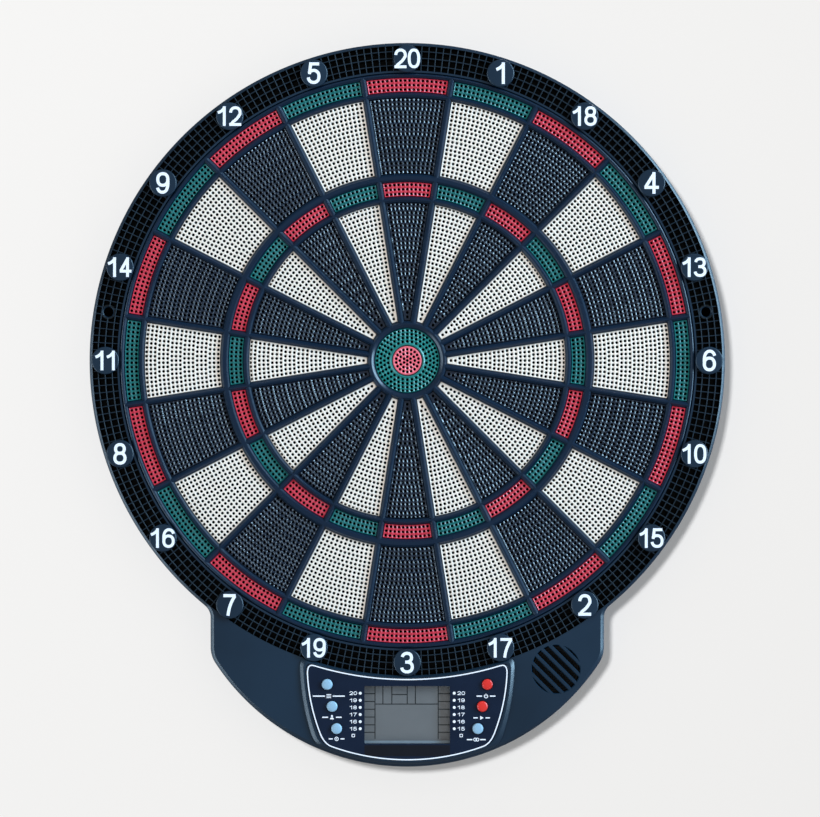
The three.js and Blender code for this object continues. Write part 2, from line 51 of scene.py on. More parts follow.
SECTOR = math.pi / 10
NUMBERS = [20, 1, 18, 4, 13, 6, 10, 15, 2, 17, 3, 19, 7, 16, 8, 11, 14, 9, 12, 5]
HOUSING = "housing_body"


def low(node, axis):
    """The least coordinate of a CAD node along an axis, in millimetres."""
    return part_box(node)[0]["xyz".index(axis)] / MM


def high(node, axis):
    """The greatest coordinate of a CAD node along an axis, in millimetres."""
    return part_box(node)[1]["xyz".index(axis)] / MM


def depths_of(node):
    """The depths of a CAD node's back and front."""
    return -high(node, "y"), -low(node, "y")


def half_sizes(node):
    """Half the width and height of a CAD node that is centred on X = 0."""
    return high(node, "x"), (high(node, "z") - low(node, "z")) / 2


def centre_of(node):
    """The centre of a CAD node in X and Z."""
    lowest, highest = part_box(node)
    return (lowest.x + highest.x) / 2 / MM, (lowest.z + highest.z) / 2 / MM


# ---- Sizes ----

RIM_RADIUS = 219.4
CHIN = dict(side_x=135.8, fillet=11, corner=20, arc=158.5, arc_z=-122)
HOUSING_DEPTHS = (0.8, 28.0)
WALL = 2.5
TARGET_RADIUS = 198.9
RIM_KEEP = 218.9  # the rim's outer wall goes on to here behind the chin
CATCH = dict(inner=200.2, outer=217.4, floor=17.0, floor_wall=1.8, top=27.5)
RIBS = dict(count=270, width=0.62, rings=(199.3, 204.0, 208.9, 213.6, 218.3))
DISC = dict(radius=9.5, ring=208.3, top=-low("front_housing", "y"))

# Spider openings from the rim inwards, with the rows of holes that each segment has.
RINGS = {
    "double": dict(inner=185.3, outer=195.4, middle=190.35, pitch=3.1, counts=[18] * 3),
    "outer_single": dict(
        inner=129.0,
        outer=181.6,
        middle=155.4,
        pitch=2.915,
        counts=[17 - i // 3 for i in range(18)],
    ),
    "triple": dict(inner=113.3, outer=123.5, middle=118.4, pitch=3.13, counts=[11] * 3),
    "inner_single": dict(
        inner=27.4,
        outer=109.4,
        middle=69.25,
        pitch=3.004,
        counts=[10] * 2 + [n for n in range(9, 2, -1) for _ in range(3)] + [2] * 2 + [1] * 2,
    ),
}
BAR_HALF = 2.0
CLEARANCE = 0.4
HUB_RADIUS = 22.4
BULL = dict(inner=10.1, bore=10.6, outer=22.0, flange=25.6)
SPIDER_OUTER = 198.6
SPIDER_FLANGE = dict(outer=202.9, depths=(12.7, 14.7))
FLANGE = dict(inner=27.0, outer=196.5, margin=0.25, depths=(9.9, 12.4))
FACE = 26.6
HOLE = dict(radius=1.0, funnel=0.54, saddle=0.22, depth=8.0, sides=12)

PANEL = dict(top=220, bottom=153.3, upper_x=69, lower_x=57, bulge_z=-238, corner=5)
BLOCK = dict(margin=5.4, top=30.2, roof=27.0, inset=2.8, drop=1.9)
DISPLAY = dict(z=-244.4, half_width=29.5, half_height=19.9)
BUTTON_NODES = {
    "mode_button": "blue",
    "player_button": "blue",
    "game_button": "blue",
    "power_button": "red",
    "start_button": "red",
    "double_button": "blue",
}
SPEAKER = dict(x=102.7, z=-213.1, grille=16.6, pitch=5.7, slot=3.1)
COLLAR = dict(inner=16.4, outer=17.9, start=18, end=25.8, sides=72)  # the wall round the speaker's seat
WALL_SCREW = dict(x=206.5, z=33.6, bore=3.4, boss=5.4, boss_end=25.0)
WALL_SCREW_PLACES = [(side * WALL_SCREW["x"], WALL_SCREW["z"]) for side in (-1, 1)]
COVER_SCREW = dict(boss=3.6, bore=1.6, well=4.6, access=3.4, boss_rear=6.8)
SCREW_TIPS, SCREW_HOLE_ENDS = (16, 13), (17, 13.6)  # depths, first in the chin and then in the rim
COVER_SCREWS = [f"cover_screw_{i + 1}" for i in range(8)]
RING_SCREWS = COVER_SCREWS[:4]  # these stand in the rim, and the others in the chin
CHIN_ROOF = 25.5  # depth of the chin's inner face
INSIDE_CHIN = 24.5  # a cut that starts here opens into the chin
BUTTON = dict(radius=3.7, flange=5.2, bore=4.1)
COVER = dict(edge=2.9, rim=2.5, plate=(4.0, 6.5), hub=25, clamp=(200, 202.4))
COVER_RIBS = dict(rings=(75, 112.5, 150), half_width=1.2, radial=16, start=20, end=198)
TRAY = dict(half_width=28.4, half_height=22.5, wall=1.5, roof=17.4, roof_wall=1.3)
CELL = dict(radius=7.2, length=50.5, pitch=14.9, depth=9.9)
DIGIT_SIZES = {  # by how many digits a number has: height, digit width, weight, gap
    1: (14.9, 9.1, 2.1, 0),
    2: (13.5, 8.5, 1.95, 0.7),
}
WIDE_FOUR = 1.0  # how much wider a lone 4 is
SCALE = 0.6907  # millimetres of the segments' plane across one of the frame's 820 steps
SHARP = 32  # an edge stays sharp where its faces turn by more than this, in degrees
LARGE, SMALL = 240, 40  # sides of the circles round the board and of the holes
AIM = (0, 0, -0.03)  # where the lights point, in metres


# ---- Outlines in the X, Z plane ----


def polar(radius, angle):
    """The point at an angle clockwise from the top."""
    return radius * math.sin(angle), radius * math.cos(angle)


def arc(x, z, radius, start, end, count):
    """Points on an arc whose angles run anticlockwise from +X."""
    angles = np.linspace(start, end, count + 1)
    return [(x + radius * math.cos(a), z + radius * math.sin(a)) for a in angles]


def circle(x, z, radius, sides):
    return arc(x, z, radius, 0, 2 * math.pi, sides)[:-1]


def mirrored(right_half):
    """Closes an outline whose right half starts and ends on the middle line."""
    return right_half + [(-x, *rest) for x, *rest in reversed(right_half[1:-1])]


def soft_outline(inset):
    """The housing's outline as (x, z, softness of the edge there). The inset depends on the softness."""
    side, fillet, corner = CHIN["side_x"], CHIN["fillet"], CHIN["corner"]
    radius, centre_z = CHIN["arc"], CHIN["arc_z"]
    fillet_x = side + fillet
    fillet_z = -math.sqrt((RIM_RADIUS + fillet) ** 2 - fillet_x**2)
    corner_x = side - corner
    corner_z = centre_z - math.sqrt((radius - corner) ** 2 - corner_x**2)
    rim = math.atan2(fillet_z, fillet_x)
    turn = math.atan2(corner_z - centre_z, corner_x)
    soft, firm = 0.85, 0.67
    stretches = [
        (0, centre_z, radius, -1, -math.pi / 2, turn, 36, soft, soft),
        (corner_x, corner_z, corner, -1, turn, 0, 10, soft, soft),
        (fillet_x, fillet_z, fillet, 1, math.pi, math.pi + rim, 8, soft, firm),
        (0, 0, RIM_RADIUS, -1, rim, math.pi / 2, 130, firm, firm),
    ]
    points = []
    for x, z, r, sign, start, end, count, first, last in stretches:
        for i in range(0 if not points else 1, count + 1):
            share = i / count
            a = start + (end - start) * share
            softness = first + (last - first) * share
            d = r + sign * inset(softness)
            points.append((x + d * math.cos(a), z + d * math.sin(a), softness))
    return mirrored(points)


def housing_outline(inset):
    return [(x, z) for x, z, _ in soft_outline(lambda _: inset)]


def panel_outline(margin):
    """The control panel's pinstripe line, grown by margin, as in the CAD."""
    top = PANEL["top"] - 0.48 * margin
    bottom = PANEL["bottom"] + 0.6 * margin
    centre = CHIN["arc_z"]
    upper = Vector((PANEL["upper_x"] + margin, 0))
    upper.y = -math.sqrt(top**2 - upper.x**2)
    lower = Vector((PANEL["lower_x"] + 1.25 * margin, 0))
    lower.y = centre - math.sqrt(bottom**2 - lower.x**2)
    control = Vector((upper.x, PANEL["bulge_z"]))
    bottom_end = math.atan2(lower.y - centre, lower.x) - PANEL["corner"] / bottom
    top_start = math.atan2(upper.y, upper.x) - PANEL["corner"] / top
    base = arc(0, centre, bottom, -math.pi / 2, bottom_end, 26)
    crown = arc(0, 0, top, top_start, -math.pi / 2, 26)
    side = [tuple(bezier(lower, control, upper, t)) for t in np.linspace(0.12, 0.88, 15)]
    lower_corner = [tuple(bezier(base[-1], lower, side[0], t)) for t in np.linspace(0, 1, 7)[1:-1]]
    upper_corner = [tuple(bezier(side[-1], upper, crown[0], t)) for t in np.linspace(0, 1, 7)[1:-1]]
    return mirrored(base + lower_corner + side + upper_corner + crown)


def bezier(a, b, c, t):
    a, b, c = Vector(a), Vector(b), Vector(c)
    return a * (1 - t) ** 2 + b * (2 * t * (1 - t)) + c * t**2


def rounded_box(x, z, half_width, half_height, radius, count=5):
    points = []
    for sx, sz, start in ((1, -1, -0.5), (1, 1, 0), (-1, 1, 0.5), (-1, -1, 1)):
        cx, cz = x + sx * (half_width - radius), z + sz * (half_height - radius)
        points += arc(cx, cz, radius, start * math.pi, (start + 0.5) * math.pi, count)
    return points


def at_depth(outline, depth):
    return [(x, depth, z) for x, z in outline]


def thirds(start, end):
    return [start + (end - start) * t for t in (1 / 3, 2 / 3)]


def half_arc(radius, margin):
    """Half the angle of a sector at a radius, less a margin in millimetres at its side."""
    return SECTOR / 2 - math.asin(margin / radius)


# ---- Meshes ----


def new_object(name, vertices, faces, sharp=SHARP, tidy=True):
    """A mesh object from points (x, depth, z) in millimetres, with its normals out."""
    mesh = bpy.data.meshes.new(name)
    points = [(x * MM, -d * MM, z * MM) for x, d, z in vertices]
    mesh.from_pydata(points, [], faces)
    if tidy:
        work = bmesh.new()
        work.from_mesh(mesh)
        bmesh.ops.recalc_face_normals(work, faces=work.faces)
        work.to_mesh(mesh)
        work.free()
    soften(mesh, sharp)
    return add_object(name, mesh)


def add_object(name, data):
    made = bpy.data.objects.new(name, data)
    bpy.context.scene.collection.objects.link(made)
    return made


def soften(mesh, sharp):
    mesh.shade_smooth()
    mesh.set_sharp_from_angle(angle=math.radians(sharp))


def stacked(loops):
    """All the points of loops of equal length, and each loop's vertex numbers."""
    size = len(loops[0])
    numbers = [range(i * size, (i + 1) * size) for i in range(len(loops))]
    return [point for loop in loops for point in loop], numbers


def ring_quads(a, b):
    """The faces between two closed loops of vertex numbers."""
    size = len(a)
    return [(a[k], a[(k + 1) % size], b[(k + 1) % size], b[k]) for k in range(size)]


def loft_parts(loops):
    """The vertices and faces of a closed solid through loops, each a list of (x, depth, z)."""
    vertices, numbers = stacked(loops)
    faces = [face for a, b in zip(numbers, numbers[1:]) for face in ring_quads(a, b)]
    return vertices, faces + [tuple(numbers[0]), tuple(numbers[-1])]


def loft(name, loops, sharp=SHARP):
    return new_object(name, *loft_parts(loops), sharp)


def prism(name, outline, start, end):
    return loft(name, [at_depth(outline, start), at_depth(outline, end)])


def rod(x, z, radius, start, end, sides=SMALL):
    return prism("rod", circle(x, z, radius, sides), start, end)


def stepped_box(name, x, z, steps, count=5):
    """A solid through rounded boxes, each given as (half width, half height, corner radius, depth)."""
    return loft(name, [at_depth(rounded_box(x, z, w, h, r, count), d) for w, h, r, d in steps])


def inset_loft(name, outline, steps):
    """A solid through an outline that is moved in or out by each of the (amount, depth) steps."""
    return loft(name, [at_depth(outline(amount), depth) for amount, depth in steps])


def lathe(name, profile, x, z, sides, sharp=SHARP):
    """A solid of revolution about the depth axis through x, z. The profile's points are (radius, depth)."""
    return loft(name, [at_depth(circle(x, z, r, sides), d) for r, d in profile], sharp)


def lathe_ring(name, inner, outer, start, end, sides):
    """A closed tube about the depth axis."""
    corners = ((inner, start), (outer, start), (outer, end), (inner, end))
    vertices, numbers = stacked([at_depth(circle(0, 0, r, sides), d) for r, d in corners])
    pairs = zip(numbers, numbers[1:] + numbers[:1])
    return new_object(name, vertices, [face for a, b in pairs for face in ring_quads(a, b)])


def combine(target, tool, operation):
    """Changes a closed solid with another one, and removes the tool."""
    modifier = target.modifiers.new("combine", "BOOLEAN")
    modifier.solver = "MANIFOLD"
    modifier.operation = operation
    modifier.object = tool
    bpy.context.view_layer.update()
    evaluated = target.evaluated_get(bpy.context.evaluated_depsgraph_get())
    result = bpy.data.meshes.new_from_object(evaluated)
    target.modifiers.clear()
    old, target.data = target.data, result
    bpy.data.meshes.remove(old)
    remove(tool)
    soften(result, SHARP)


def cut(target, tool):
    combine(target, tool, "DIFFERENCE")


def join(target, tool):
    combine(target, tool, "UNION")


def remove(thing):
    mesh = thing.data
    bpy.data.objects.remove(thing)
    bpy.data.meshes.remove(mesh)


def many(name, solids):
    """One object from several closed solids that don't touch."""
    vertices, faces = [], []
    for points, polygons in solids:
        start = len(vertices)
        vertices += points
        faces += [tuple(i + start for i in f) for f in polygons]
    return new_object(name, vertices, faces)


def finish_piece(piece, name, material, slot, nodes=(), body=HOUSING, second=None):
    """Names a piece, gives it its material and puts it on its body. A second material is for marked faces."""
    piece.name = name
    piece.data.name = name
    marks = np.zeros(len(piece.data.polygons), dtype=np.int32)
    piece.data.polygons.foreach_get("material_index", marks)
    piece.data.materials.clear()
    for each in (material, second) if second else (material,):
        piece.data.materials.append(each)
    piece.data.polygons.foreach_set("material_index", marks)
    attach(piece, body)
    if nodes:
        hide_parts(*nodes)


# ---- Materials ----


def linear(hex_colour):
    channels = [int(hex_colour[i : i + 2], 16) / 255 for i in (0, 2, 4)]
    return tuple(c / 12.92 if c <= 0.04045 else ((c + 0.055) / 1.055) ** 2.4 for c in channels) + (1,)


def shaded(colour, factor):
    return tuple(min(1.0, c * factor) for c in colour[:3]) + (1,)


def principled(name, **values):
    """A new material with a Principled shader, whose inputs are given with _ for each space."""
    material = bpy.data.materials.new(name)
    material.use_nodes = True
    nodes, links = material.node_tree.nodes, material.node_tree.links
    shader = nodes["Principled BSDF"]
    set_inputs(shader, **values)
    return material, nodes, links, shader


def set_inputs(node, **values):
    for key, value in values.items():
        node.inputs[key.replace("_", " ")].default_value = value


def plastic(
    name,
    colour,
    roughness=0.4,
    variation=0.08,
    patches=22,
    grain=900,
    grain_height=0.00002,
    coat=0.0,
    specular=0.5,
    metallic=0.0,
):
    """Moulded plastic: slow changes of colour and gloss, and a fine grain in the surface."""
    material, nodes, links, shader = principled(
        name, Specular_IOR_Level=specular, Metallic=metallic, Coat_Weight=coat, Coat_Roughness=0.18
    )
    base = linear(colour)
    least, most = 0.3, 0.7  # the range of the slow noise that is used
    place = nodes.new("ShaderNodeTexCoord")
    slow = nodes.new("ShaderNodeTexNoise")
    set_inputs(slow, Scale=patches, Detail=6)
    ramp = nodes.new("ShaderNodeValToRGB")
    for stop, position, factor in zip(ramp.color_ramp.elements, (least, most), (1 - variation, 1 + variation)):
        stop.position = position
        stop.color = shaded(base, factor)
    gloss = nodes.new("ShaderNodeMapRange")
    set_inputs(gloss, From_Min=least, From_Max=most, To_Min=roughness * 0.88, To_Max=min(1.0, roughness * 1.12))
    fine = nodes.new("ShaderNodeTexNoise")
    set_inputs(fine, Scale=grain, Detail=3)
    bump = nodes.new("ShaderNodeBump")
    set_inputs(bump, Strength=0.6, Distance=grain_height)
    for texture in (slow, fine):
        links.new(place.outputs["Object"], texture.inputs["Vector"])
    links.new(slow.outputs["Fac"], ramp.inputs["Fac"])
    links.new(ramp.outputs["Color"], shader.inputs["Base Color"])
    links.new(slow.outputs["Fac"], gloss.inputs["Value"])
    links.new(gloss.outputs["Result"], shader.inputs["Roughness"])
    links.new(fine.outputs["Fac"], bump.inputs["Height"])
    links.new(bump.outputs["Normal"], shader.inputs["Normal"])
    return material


NAVY = plastic("housing_plastic", "122637", 0.32, variation=0.16, patches=16, grain=1400, specular=0.6)
# Painted shade: a greyer, rougher copy of the housing's colour on the walls and floors of the catch ring's
# cells and on the wall-screw bosses, for the dark look of these recesses in one moulding.
RECESS_SHADE = plastic("pocket_painted_shade", "1c252c", 0.5, variation=0.12, patches=60, specular=0.5)
SPIDER_NAVY = plastic("spider_plastic", "0b1f33", 0.28, variation=0.1, grain=1400, specular=0.5)
DARK = plastic("cover_plastic", "15212e", 0.5, variation=0.05, grain=1100, grain_height=0.00004)
SEGMENTS = {
    "black": plastic(
        "segment_black", "0a192b", 0.26, variation=0.12, patches=40, grain_height=0.000004, specular=0.9
    ),
    "cream": plastic("segment_cream", "e6dad0", 0.42, variation=0.03, patches=40),
}
# The bulls' red and green are lighter copies of the segment colours: a painted highlight for the glints between
# their close holes.
for key, specular, *look in (
    ("red", 0.6, "segment_red", "c52d42", 0.3, 0.08, 40),
    ("red_bull", 0.7, "bull_red_painted_glints", "ec6878", 0.32, 0.06, 60),
    ("green_bull", 0.7, "bull_green_painted_glints", "107672", 0.3, 0.08, 60),
    ("green", 0.6, "segment_green", "0b6262", 0.3, 0.1, 40),
):
    SEGMENTS[key] = plastic(*look, grain_height=0.000006, specular=specular)
OVERLAY = plastic(
    "panel_film", "111d30", 0.26, specular=0.3, variation=0.1, patches=60, grain=2600, grain_height=0.00001
)
PRINT = plastic("panel_ink", "f1f1f8", 0.45, variation=0.02, patches=90)
NUMERAL_INK = plastic("numeral_ink", "eceff8", 0.5, variation=0.02, patches=90)
BUTTON_COLOURS = {
    "blue": plastic("button_blue", "90b4cd", 0.32, variation=0.05, patches=120, coat=0.3),
    "red": plastic("button_red", "d8302a", 0.3, variation=0.06, patches=120, coat=0.3),
}
STEEL = plastic("screw_steel", "b4b8bc", 0.32, variation=0.08, patches=300, metallic=1.0)
BAND_INK = plastic("band_ink", "0a0e18", 0.34, variation=0.1, patches=70, grain=2600, grain_height=0.00001)
LCD_INK = plastic("lcd_ink", "15181b", 0.4, variation=0.04, patches=200)
LCD_EDGE = plastic("lcd_edge", "98a5b0", 0.35, variation=0.05, patches=200)
GLASS = plastic(
    "lcd_glass", "7a7a7c", 0.22, specular=0.2, variation=0.04, patches=60, grain=3000, grain_height=0.000004
)
RUBBER = plastic("mat_rubber", "131313", 0.7, variation=0.2, patches=60, grain=700, grain_height=0.00005)
SILICONE = plastic("keypad_silicone", "9a9a94", 0.55, variation=0.06, patches=90)
FILM = plastic("matrix_film", "b4ac88", 0.3, variation=0.1, patches=50)
BOARD = plastic("board_mask", "1c5c3a", 0.34, variation=0.2, patches=120, grain=1600)
SLEEVE = plastic("cell_sleeve", "26262a", 0.3, variation=0.08, patches=150, coat=0.3)
BAND_METAL = plastic("cell_band", "c9ccd0", 0.3, variation=0.06, patches=200, metallic=0.9)
WIRES = [plastic("wire_red", "8c2020", patches=200), plastic("wire_black", "1a1a1c", patches=200)]
WINDOW = plastic("window_clear", "2c3438", 0.06, variation=0.02, patches=40, grain=300, grain_height=0.000002)
set_inputs(WINDOW.node_tree.nodes["Principled BSDF"], Alpha=0.1)
# Painted shade: dark on the deep walls and bottoms of the segments' holes, for the shade inside them; the
# bottom also stands for the dark mat behind.
HOLE_SHADE = plastic("hole_painted_shade", "08090b", 0.85, variation=0.2, patches=200, specular=0.05)


# ---- Perforated segments ----


class Perforated:
    """A surface of rows of holes. Each hole has a cell, and neighbouring cells meet in a ridge."""

    def __init__(self, place, wrap):
        self.place = place
        self.wrap = wrap
        self.vertices = []
        self.faces = []
        self.dark = set()
        self.lines = []
        self.columns = []

    def point(self, radius, u, depth):
        x, z = self.place(radius, u)
        self.vertices.append((x, depth, z))
        return len(self.vertices) - 1

    def line(self, radius, counts, border):
        """One line between two rows. A count is how many cells a row has along it."""
        stops = {}
        for count in sorted(set(counts)):
            for k in range(3 * count + (0 if self.wrap else 1)):
                u = (k / (3 * count) - 0.5 / count) % 1 if self.wrap else k / (3 * count)
                corner = k % 3 == 0
                key = round(u * 1e6) % 1_000_000 if self.wrap else round(u * 1e6)
                stops[key] = (u, stops.get(key, (u, False))[1] or corner)
        level = border or len(set(counts)) > 1
        made = []
        for key in sorted(stops):
            u, corner = stops[key]
            depth = FACE if corner or level else FACE - HOLE["saddle"]
            made.append((u, self.point(radius, u, depth)))
        self.lines.append(made)

    def between(self, line, start, end):
        """A line's points from start to end, in order."""
        turns = (-1, 0, 1) if self.wrap else (0,)
        found = [
            (u + turn, v) for turn in turns for u, v in line if start - 1e-6 <= u + turn <= end + 1e-6
        ]
        return [v for _, v in sorted(found)]

    def ring_of_faces(self, outer, inner, centre):
        """Fills between a cell's outline and its hole, matching points by their angle round the centre."""
        cx, cz = centre

        def sorted_by_angle(loop):
            pairs = []
            for v in loop:
                x, _, z = self.vertices[v]
                pairs.append((math.atan2(z - cz, x - cx) % (2 * math.pi), v))
            return sorted(pairs)

        a, b = sorted_by_angle(outer), sorted_by_angle(inner)
        i = j = 0
        while i < len(a) or j < len(b):
            a_now, b_now = a[i % len(a)][1], b[j % len(b)][1]
            a_next = a[(i + 1) % len(a)][0] + (2 * math.pi if i + 1 >= len(a) else 0)
            b_next = b[(j + 1) % len(b)][0] + (2 * math.pi if j + 1 >= len(b) else 0)
            if j >= len(b) or (i < len(a) and a_next <= b_next):
                self.faces.append((a_now, a[(i + 1) % len(a)][1], b_now))
                i += 1
            else:
                self.faces.append((a_now, b[(j + 1) % len(b)][1], b_now))
                j += 1

    def hole(self, outline, centre):
        """A funnel from the cell's outline to a round blind hole. The hole's walls below the funnel and its
        bottom are marked for the painted shade.
        """
        cx, cz = centre
        sides, radius = HOLE["sides"], HOLE["radius"]
        rings = []
        for r, depth in (
            (radius, FACE - HOLE["funnel"]),
            (radius * 0.94, FACE - HOLE["funnel"] - 0.6),
            (radius * 0.88, FACE - HOLE["depth"]),
        ):
            start = len(self.vertices)
            self.vertices += [(x, depth, z) for x, z in circle(cx, cz, r, sides)]
            rings.append(list(range(start, start + sides)))
        self.ring_of_faces(outline, rings[0], centre)
        first_dark = len(self.faces)
        for upper, lower in zip(rings, rings[1:]):
            self.faces += ring_quads(upper, lower)
        self.faces.append(tuple(rings[-1]))
        self.dark.update(range(first_dark, len(self.faces)))

    def solid(self, name):
        """The object, with the deep parts of its holes marked for a second material, the painted shade inside
        the holes.
        """
        made = new_object(name, self.vertices, self.faces, sharp=28)
        marks = np.zeros(len(self.faces), dtype=np.int32)
        marks[list(self.dark)] = 1
        made.data.polygons.foreach_set("material_index", marks)
        return made

    def rows(self, bounds, middles, counts):
        """Cells between successive bounds, from the outside in."""
        for j, bound in enumerate(bounds):
            self.line(bound, counts[max(0, j - 1) : j + 1], j in (0, len(counts)))
        for j, (count, middle) in enumerate(zip(counts, middles)):
            offset = 0.5 / count if self.wrap else 0
            columns = []
            for c in range(count if self.wrap else count + 1):
                border = not self.wrap and c in (0, count)
                depth = FACE if border else FACE - HOLE["saddle"]
                radii = thirds(bounds[j], bounds[j + 1])
                columns.append([self.point(r, c / count - offset, depth) for r in radii])
            self.columns.append(columns)
            for c in range(count):
                start, end = c / count - offset, (c + 1) / count - offset
                outline = self.between(self.lines[j], start, end) + columns[(c + 1) % len(columns)]
                outline += self.between(self.lines[j + 1], start, end) + columns[c]
                self.hole(outline, self.place(middle, (start + end) / 2))


def segment_mesh(name, ring):
    """One closed segment of the sector at the top: perforated face, chamfered rim, sides and flange."""
    spec = RINGS[ring]
    pad_inner, pad_outer, margin = spec["inner"] + CLEARANCE, spec["outer"] - CLEARANCE, BAR_HALF + CLEARANCE
    rim = 0.25

    def place_with(side_margin):
        return lambda radius, u: polar(radius, (2 * u - 1) * half_arc(radius, side_margin))

    counts = spec["counts"]
    rows = len(counts)
    bounds = [spec["middle"] + (rows / 2 - j) * spec["pitch"] for j in range(rows + 1)]
    middles = [(a + b) / 2 for a, b in zip(bounds, bounds[1:])]
    bounds[0], bounds[-1] = pad_outer - rim, pad_inner + rim
    face = Perforated(place_with(margin + rim), False)
    face.rows(bounds, middles, counts)

    def side(u, index):
        """A side's points from the outside in, without its corners."""
        points = []
        for j in range(rows):
            radii = thirds(bounds[j], bounds[j + 1])
            points += [(r, u, v, "side") for r, v in zip(radii, face.columns[j][index])]
            points.append((bounds[j + 1], u, face.lines[j + 1][index][1], "side"))
        return points[:-1]

    # The border of the perforated face, clockwise from its outer left corner, as (radius, u, vertex, kind).
    border = [(bounds[0], u, v, "outer") for u, v in face.lines[0]] + side(1, -1)
    border += [(bounds[-1], u, v, "inner") for u, v in reversed(face.lines[-1])] + side(0, 0)[::-1]

    flange_inner, flange_outer = FLANGES[ring]
    levels = [
        (pad_inner + 0.1, pad_outer - 0.1, margin + 0.1, FACE),
        (pad_inner, pad_outer, margin, FACE - 0.12),
        (pad_inner, pad_outer, margin, FLANGE["depths"][1]),
        (flange_inner, flange_outer, FLANGE["margin"], FLANGE["depths"][1]),
        (flange_inner, flange_outer, FLANGE["margin"], FLANGE["depths"][0]),
    ]
    previous = [v for _, _, v, _ in border]
    for inner, outer, side_margin, depth in levels:
        face.place = place_with(side_margin)
        ends = {"outer": outer, "inner": inner}
        current = [face.point(ends.get(kind, radius), u, depth) for radius, u, _, kind in border]
        face.faces += ring_quads(previous, current)
        previous = current
    face.faces.append(tuple(previous))
    return face.solid(name)


def flange_radii():
    """Each ring's flange reaches halfway under the bar to the next ring, less a small gap."""
    rings, gap = list(RINGS.values()), 0.15
    halfway = [(a["inner"] + b["outer"]) / 2 for a, b in zip(rings, rings[1:])]
    outer = [FLANGE["outer"]] + [radius - gap for radius in halfway]
    inner = [radius + gap for radius in halfway] + [FLANGE["inner"]]
    return dict(zip(RINGS, zip(inner, outer)))


FLANGES = flange_radii()


def build_segments():
    for ring in RINGS:
        colours = ("red", "green") if ring in ("double", "triple") else ("black", "cream")
        meshes = []
        for colour in colours:
            source = segment_mesh(f"{ring}_{colour}", ring)
            source.data.materials.append(SEGMENTS[colour])
            source.data.materials.append(HOLE_SHADE)
            meshes.append(source.data)
            bpy.data.objects.remove(source)
        for i, number in enumerate(NUMBERS):
            piece = add_object(f"{ring}_{number}", meshes[i % 2])
            piece.matrix_world = Matrix.Rotation(i * SECTOR, 4, "Y")
            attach(piece, f"sector_{number}")
            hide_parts(f"sector_{number}")


def full_circle(radius, u):
    return polar(radius, 2 * math.pi * u)


def build_bulls():
    # The inner bull has one hole in the middle and three rings round it.
    face = Perforated(full_circle, True)
    bounds = [9.2, 6.55, 3.9, 1.3]
    face.rows(bounds, [7.8, 5.2, 2.6], [18, 12, 6])
    face.hole([v for _, v in face.lines[-1]], (0, 0))
    edge = [(9.55, FACE - 0.08), (9.85, FACE - 0.3), (BULL["inner"], FACE - 0.7)]
    close_round(face, edge + [(BULL["inner"], FLANGE["depths"][0])])
    inner = face.solid("bull_inner_face")
    red, green = SEGMENTS["red_bull"], SEGMENTS["green_bull"]
    finish_piece(inner, "bull_inner_face", red, "segment_red", ["bull_inner"], "bull_inner", HOLE_SHADE)

    # The outer bull has four rings of holes, and a rounded lip round its bore.
    face = Perforated(full_circle, True)
    bounds = [21.7, 19.65, 17.15, 14.6, 12.1]
    face.rows(bounds, [20.9, 18.4, 15.9, 13.3], [44, 38, 32, 26])
    lip = [(11.85, FACE + 0.15), (11.55, FACE + 0.36), (11.2, FACE + 0.4), (10.95, FACE + 0.2)]
    lip += [(BULL["bore"], FACE - 0.5), (BULL["bore"], FLANGE["depths"][0])]
    outside = [
        (21.9, FACE),
        (BULL["outer"], FACE - 0.12),
        (BULL["outer"], FLANGE["depths"][1]),
        (BULL["flange"], FLANGE["depths"][1]),
        (BULL["flange"], FLANGE["depths"][0]),
    ]
    inner_ring = close_round(face, lip, line=-1, cap=False)
    outer_ring = close_round(face, outside, line=0, cap=False)
    face.ring_of_faces(outer_ring, inner_ring, (0, 0))
    outer = face.solid("bull_outer_face")
    finish_piece(outer, "bull_outer_face", green, "segment_green", ["bull_outer"], "bull_outer", HOLE_SHADE)


def close_round(face, profile, line=0, cap=True):
    """Carries on from a face's border line along a profile of (radius, depth)."""
    previous = [v for _, v in face.lines[line]]
    stops = [u for u, _ in face.lines[line]]
    for radius, depth in profile:
        current = [face.point(radius, u, depth) for u in stops]
        face.faces += ring_quads(previous, current)
        previous = current
    if cap:
        face.faces.append(tuple(previous))
    return previous


# ---- Spider ----

# The bars' rounded section, from the back: (depth, how much wider the opening is).
BAR_PROFILE = [
    (12.7, 0), (26.5, 0), (26.8, 0.08), (27.1, 0.3), (27.5, 0.75), (27.9, 1.15), (28.2, 1.4), (28.3, 1.5)
]
HUB_PROFILE = [
    (12.7, 0), (26.0, 0), (26.5, 0.2), (26.9, 0.6), (27.4, 1.3), (27.9, 2.0), (28.2, 2.5), (28.3, 2.9)
]
RIM_PROFILE = [(28.3, 197.0), (28.15, 197.5), (27.8, 198.0), (27.2, 198.4), (26.4, SPIDER_OUTER)]


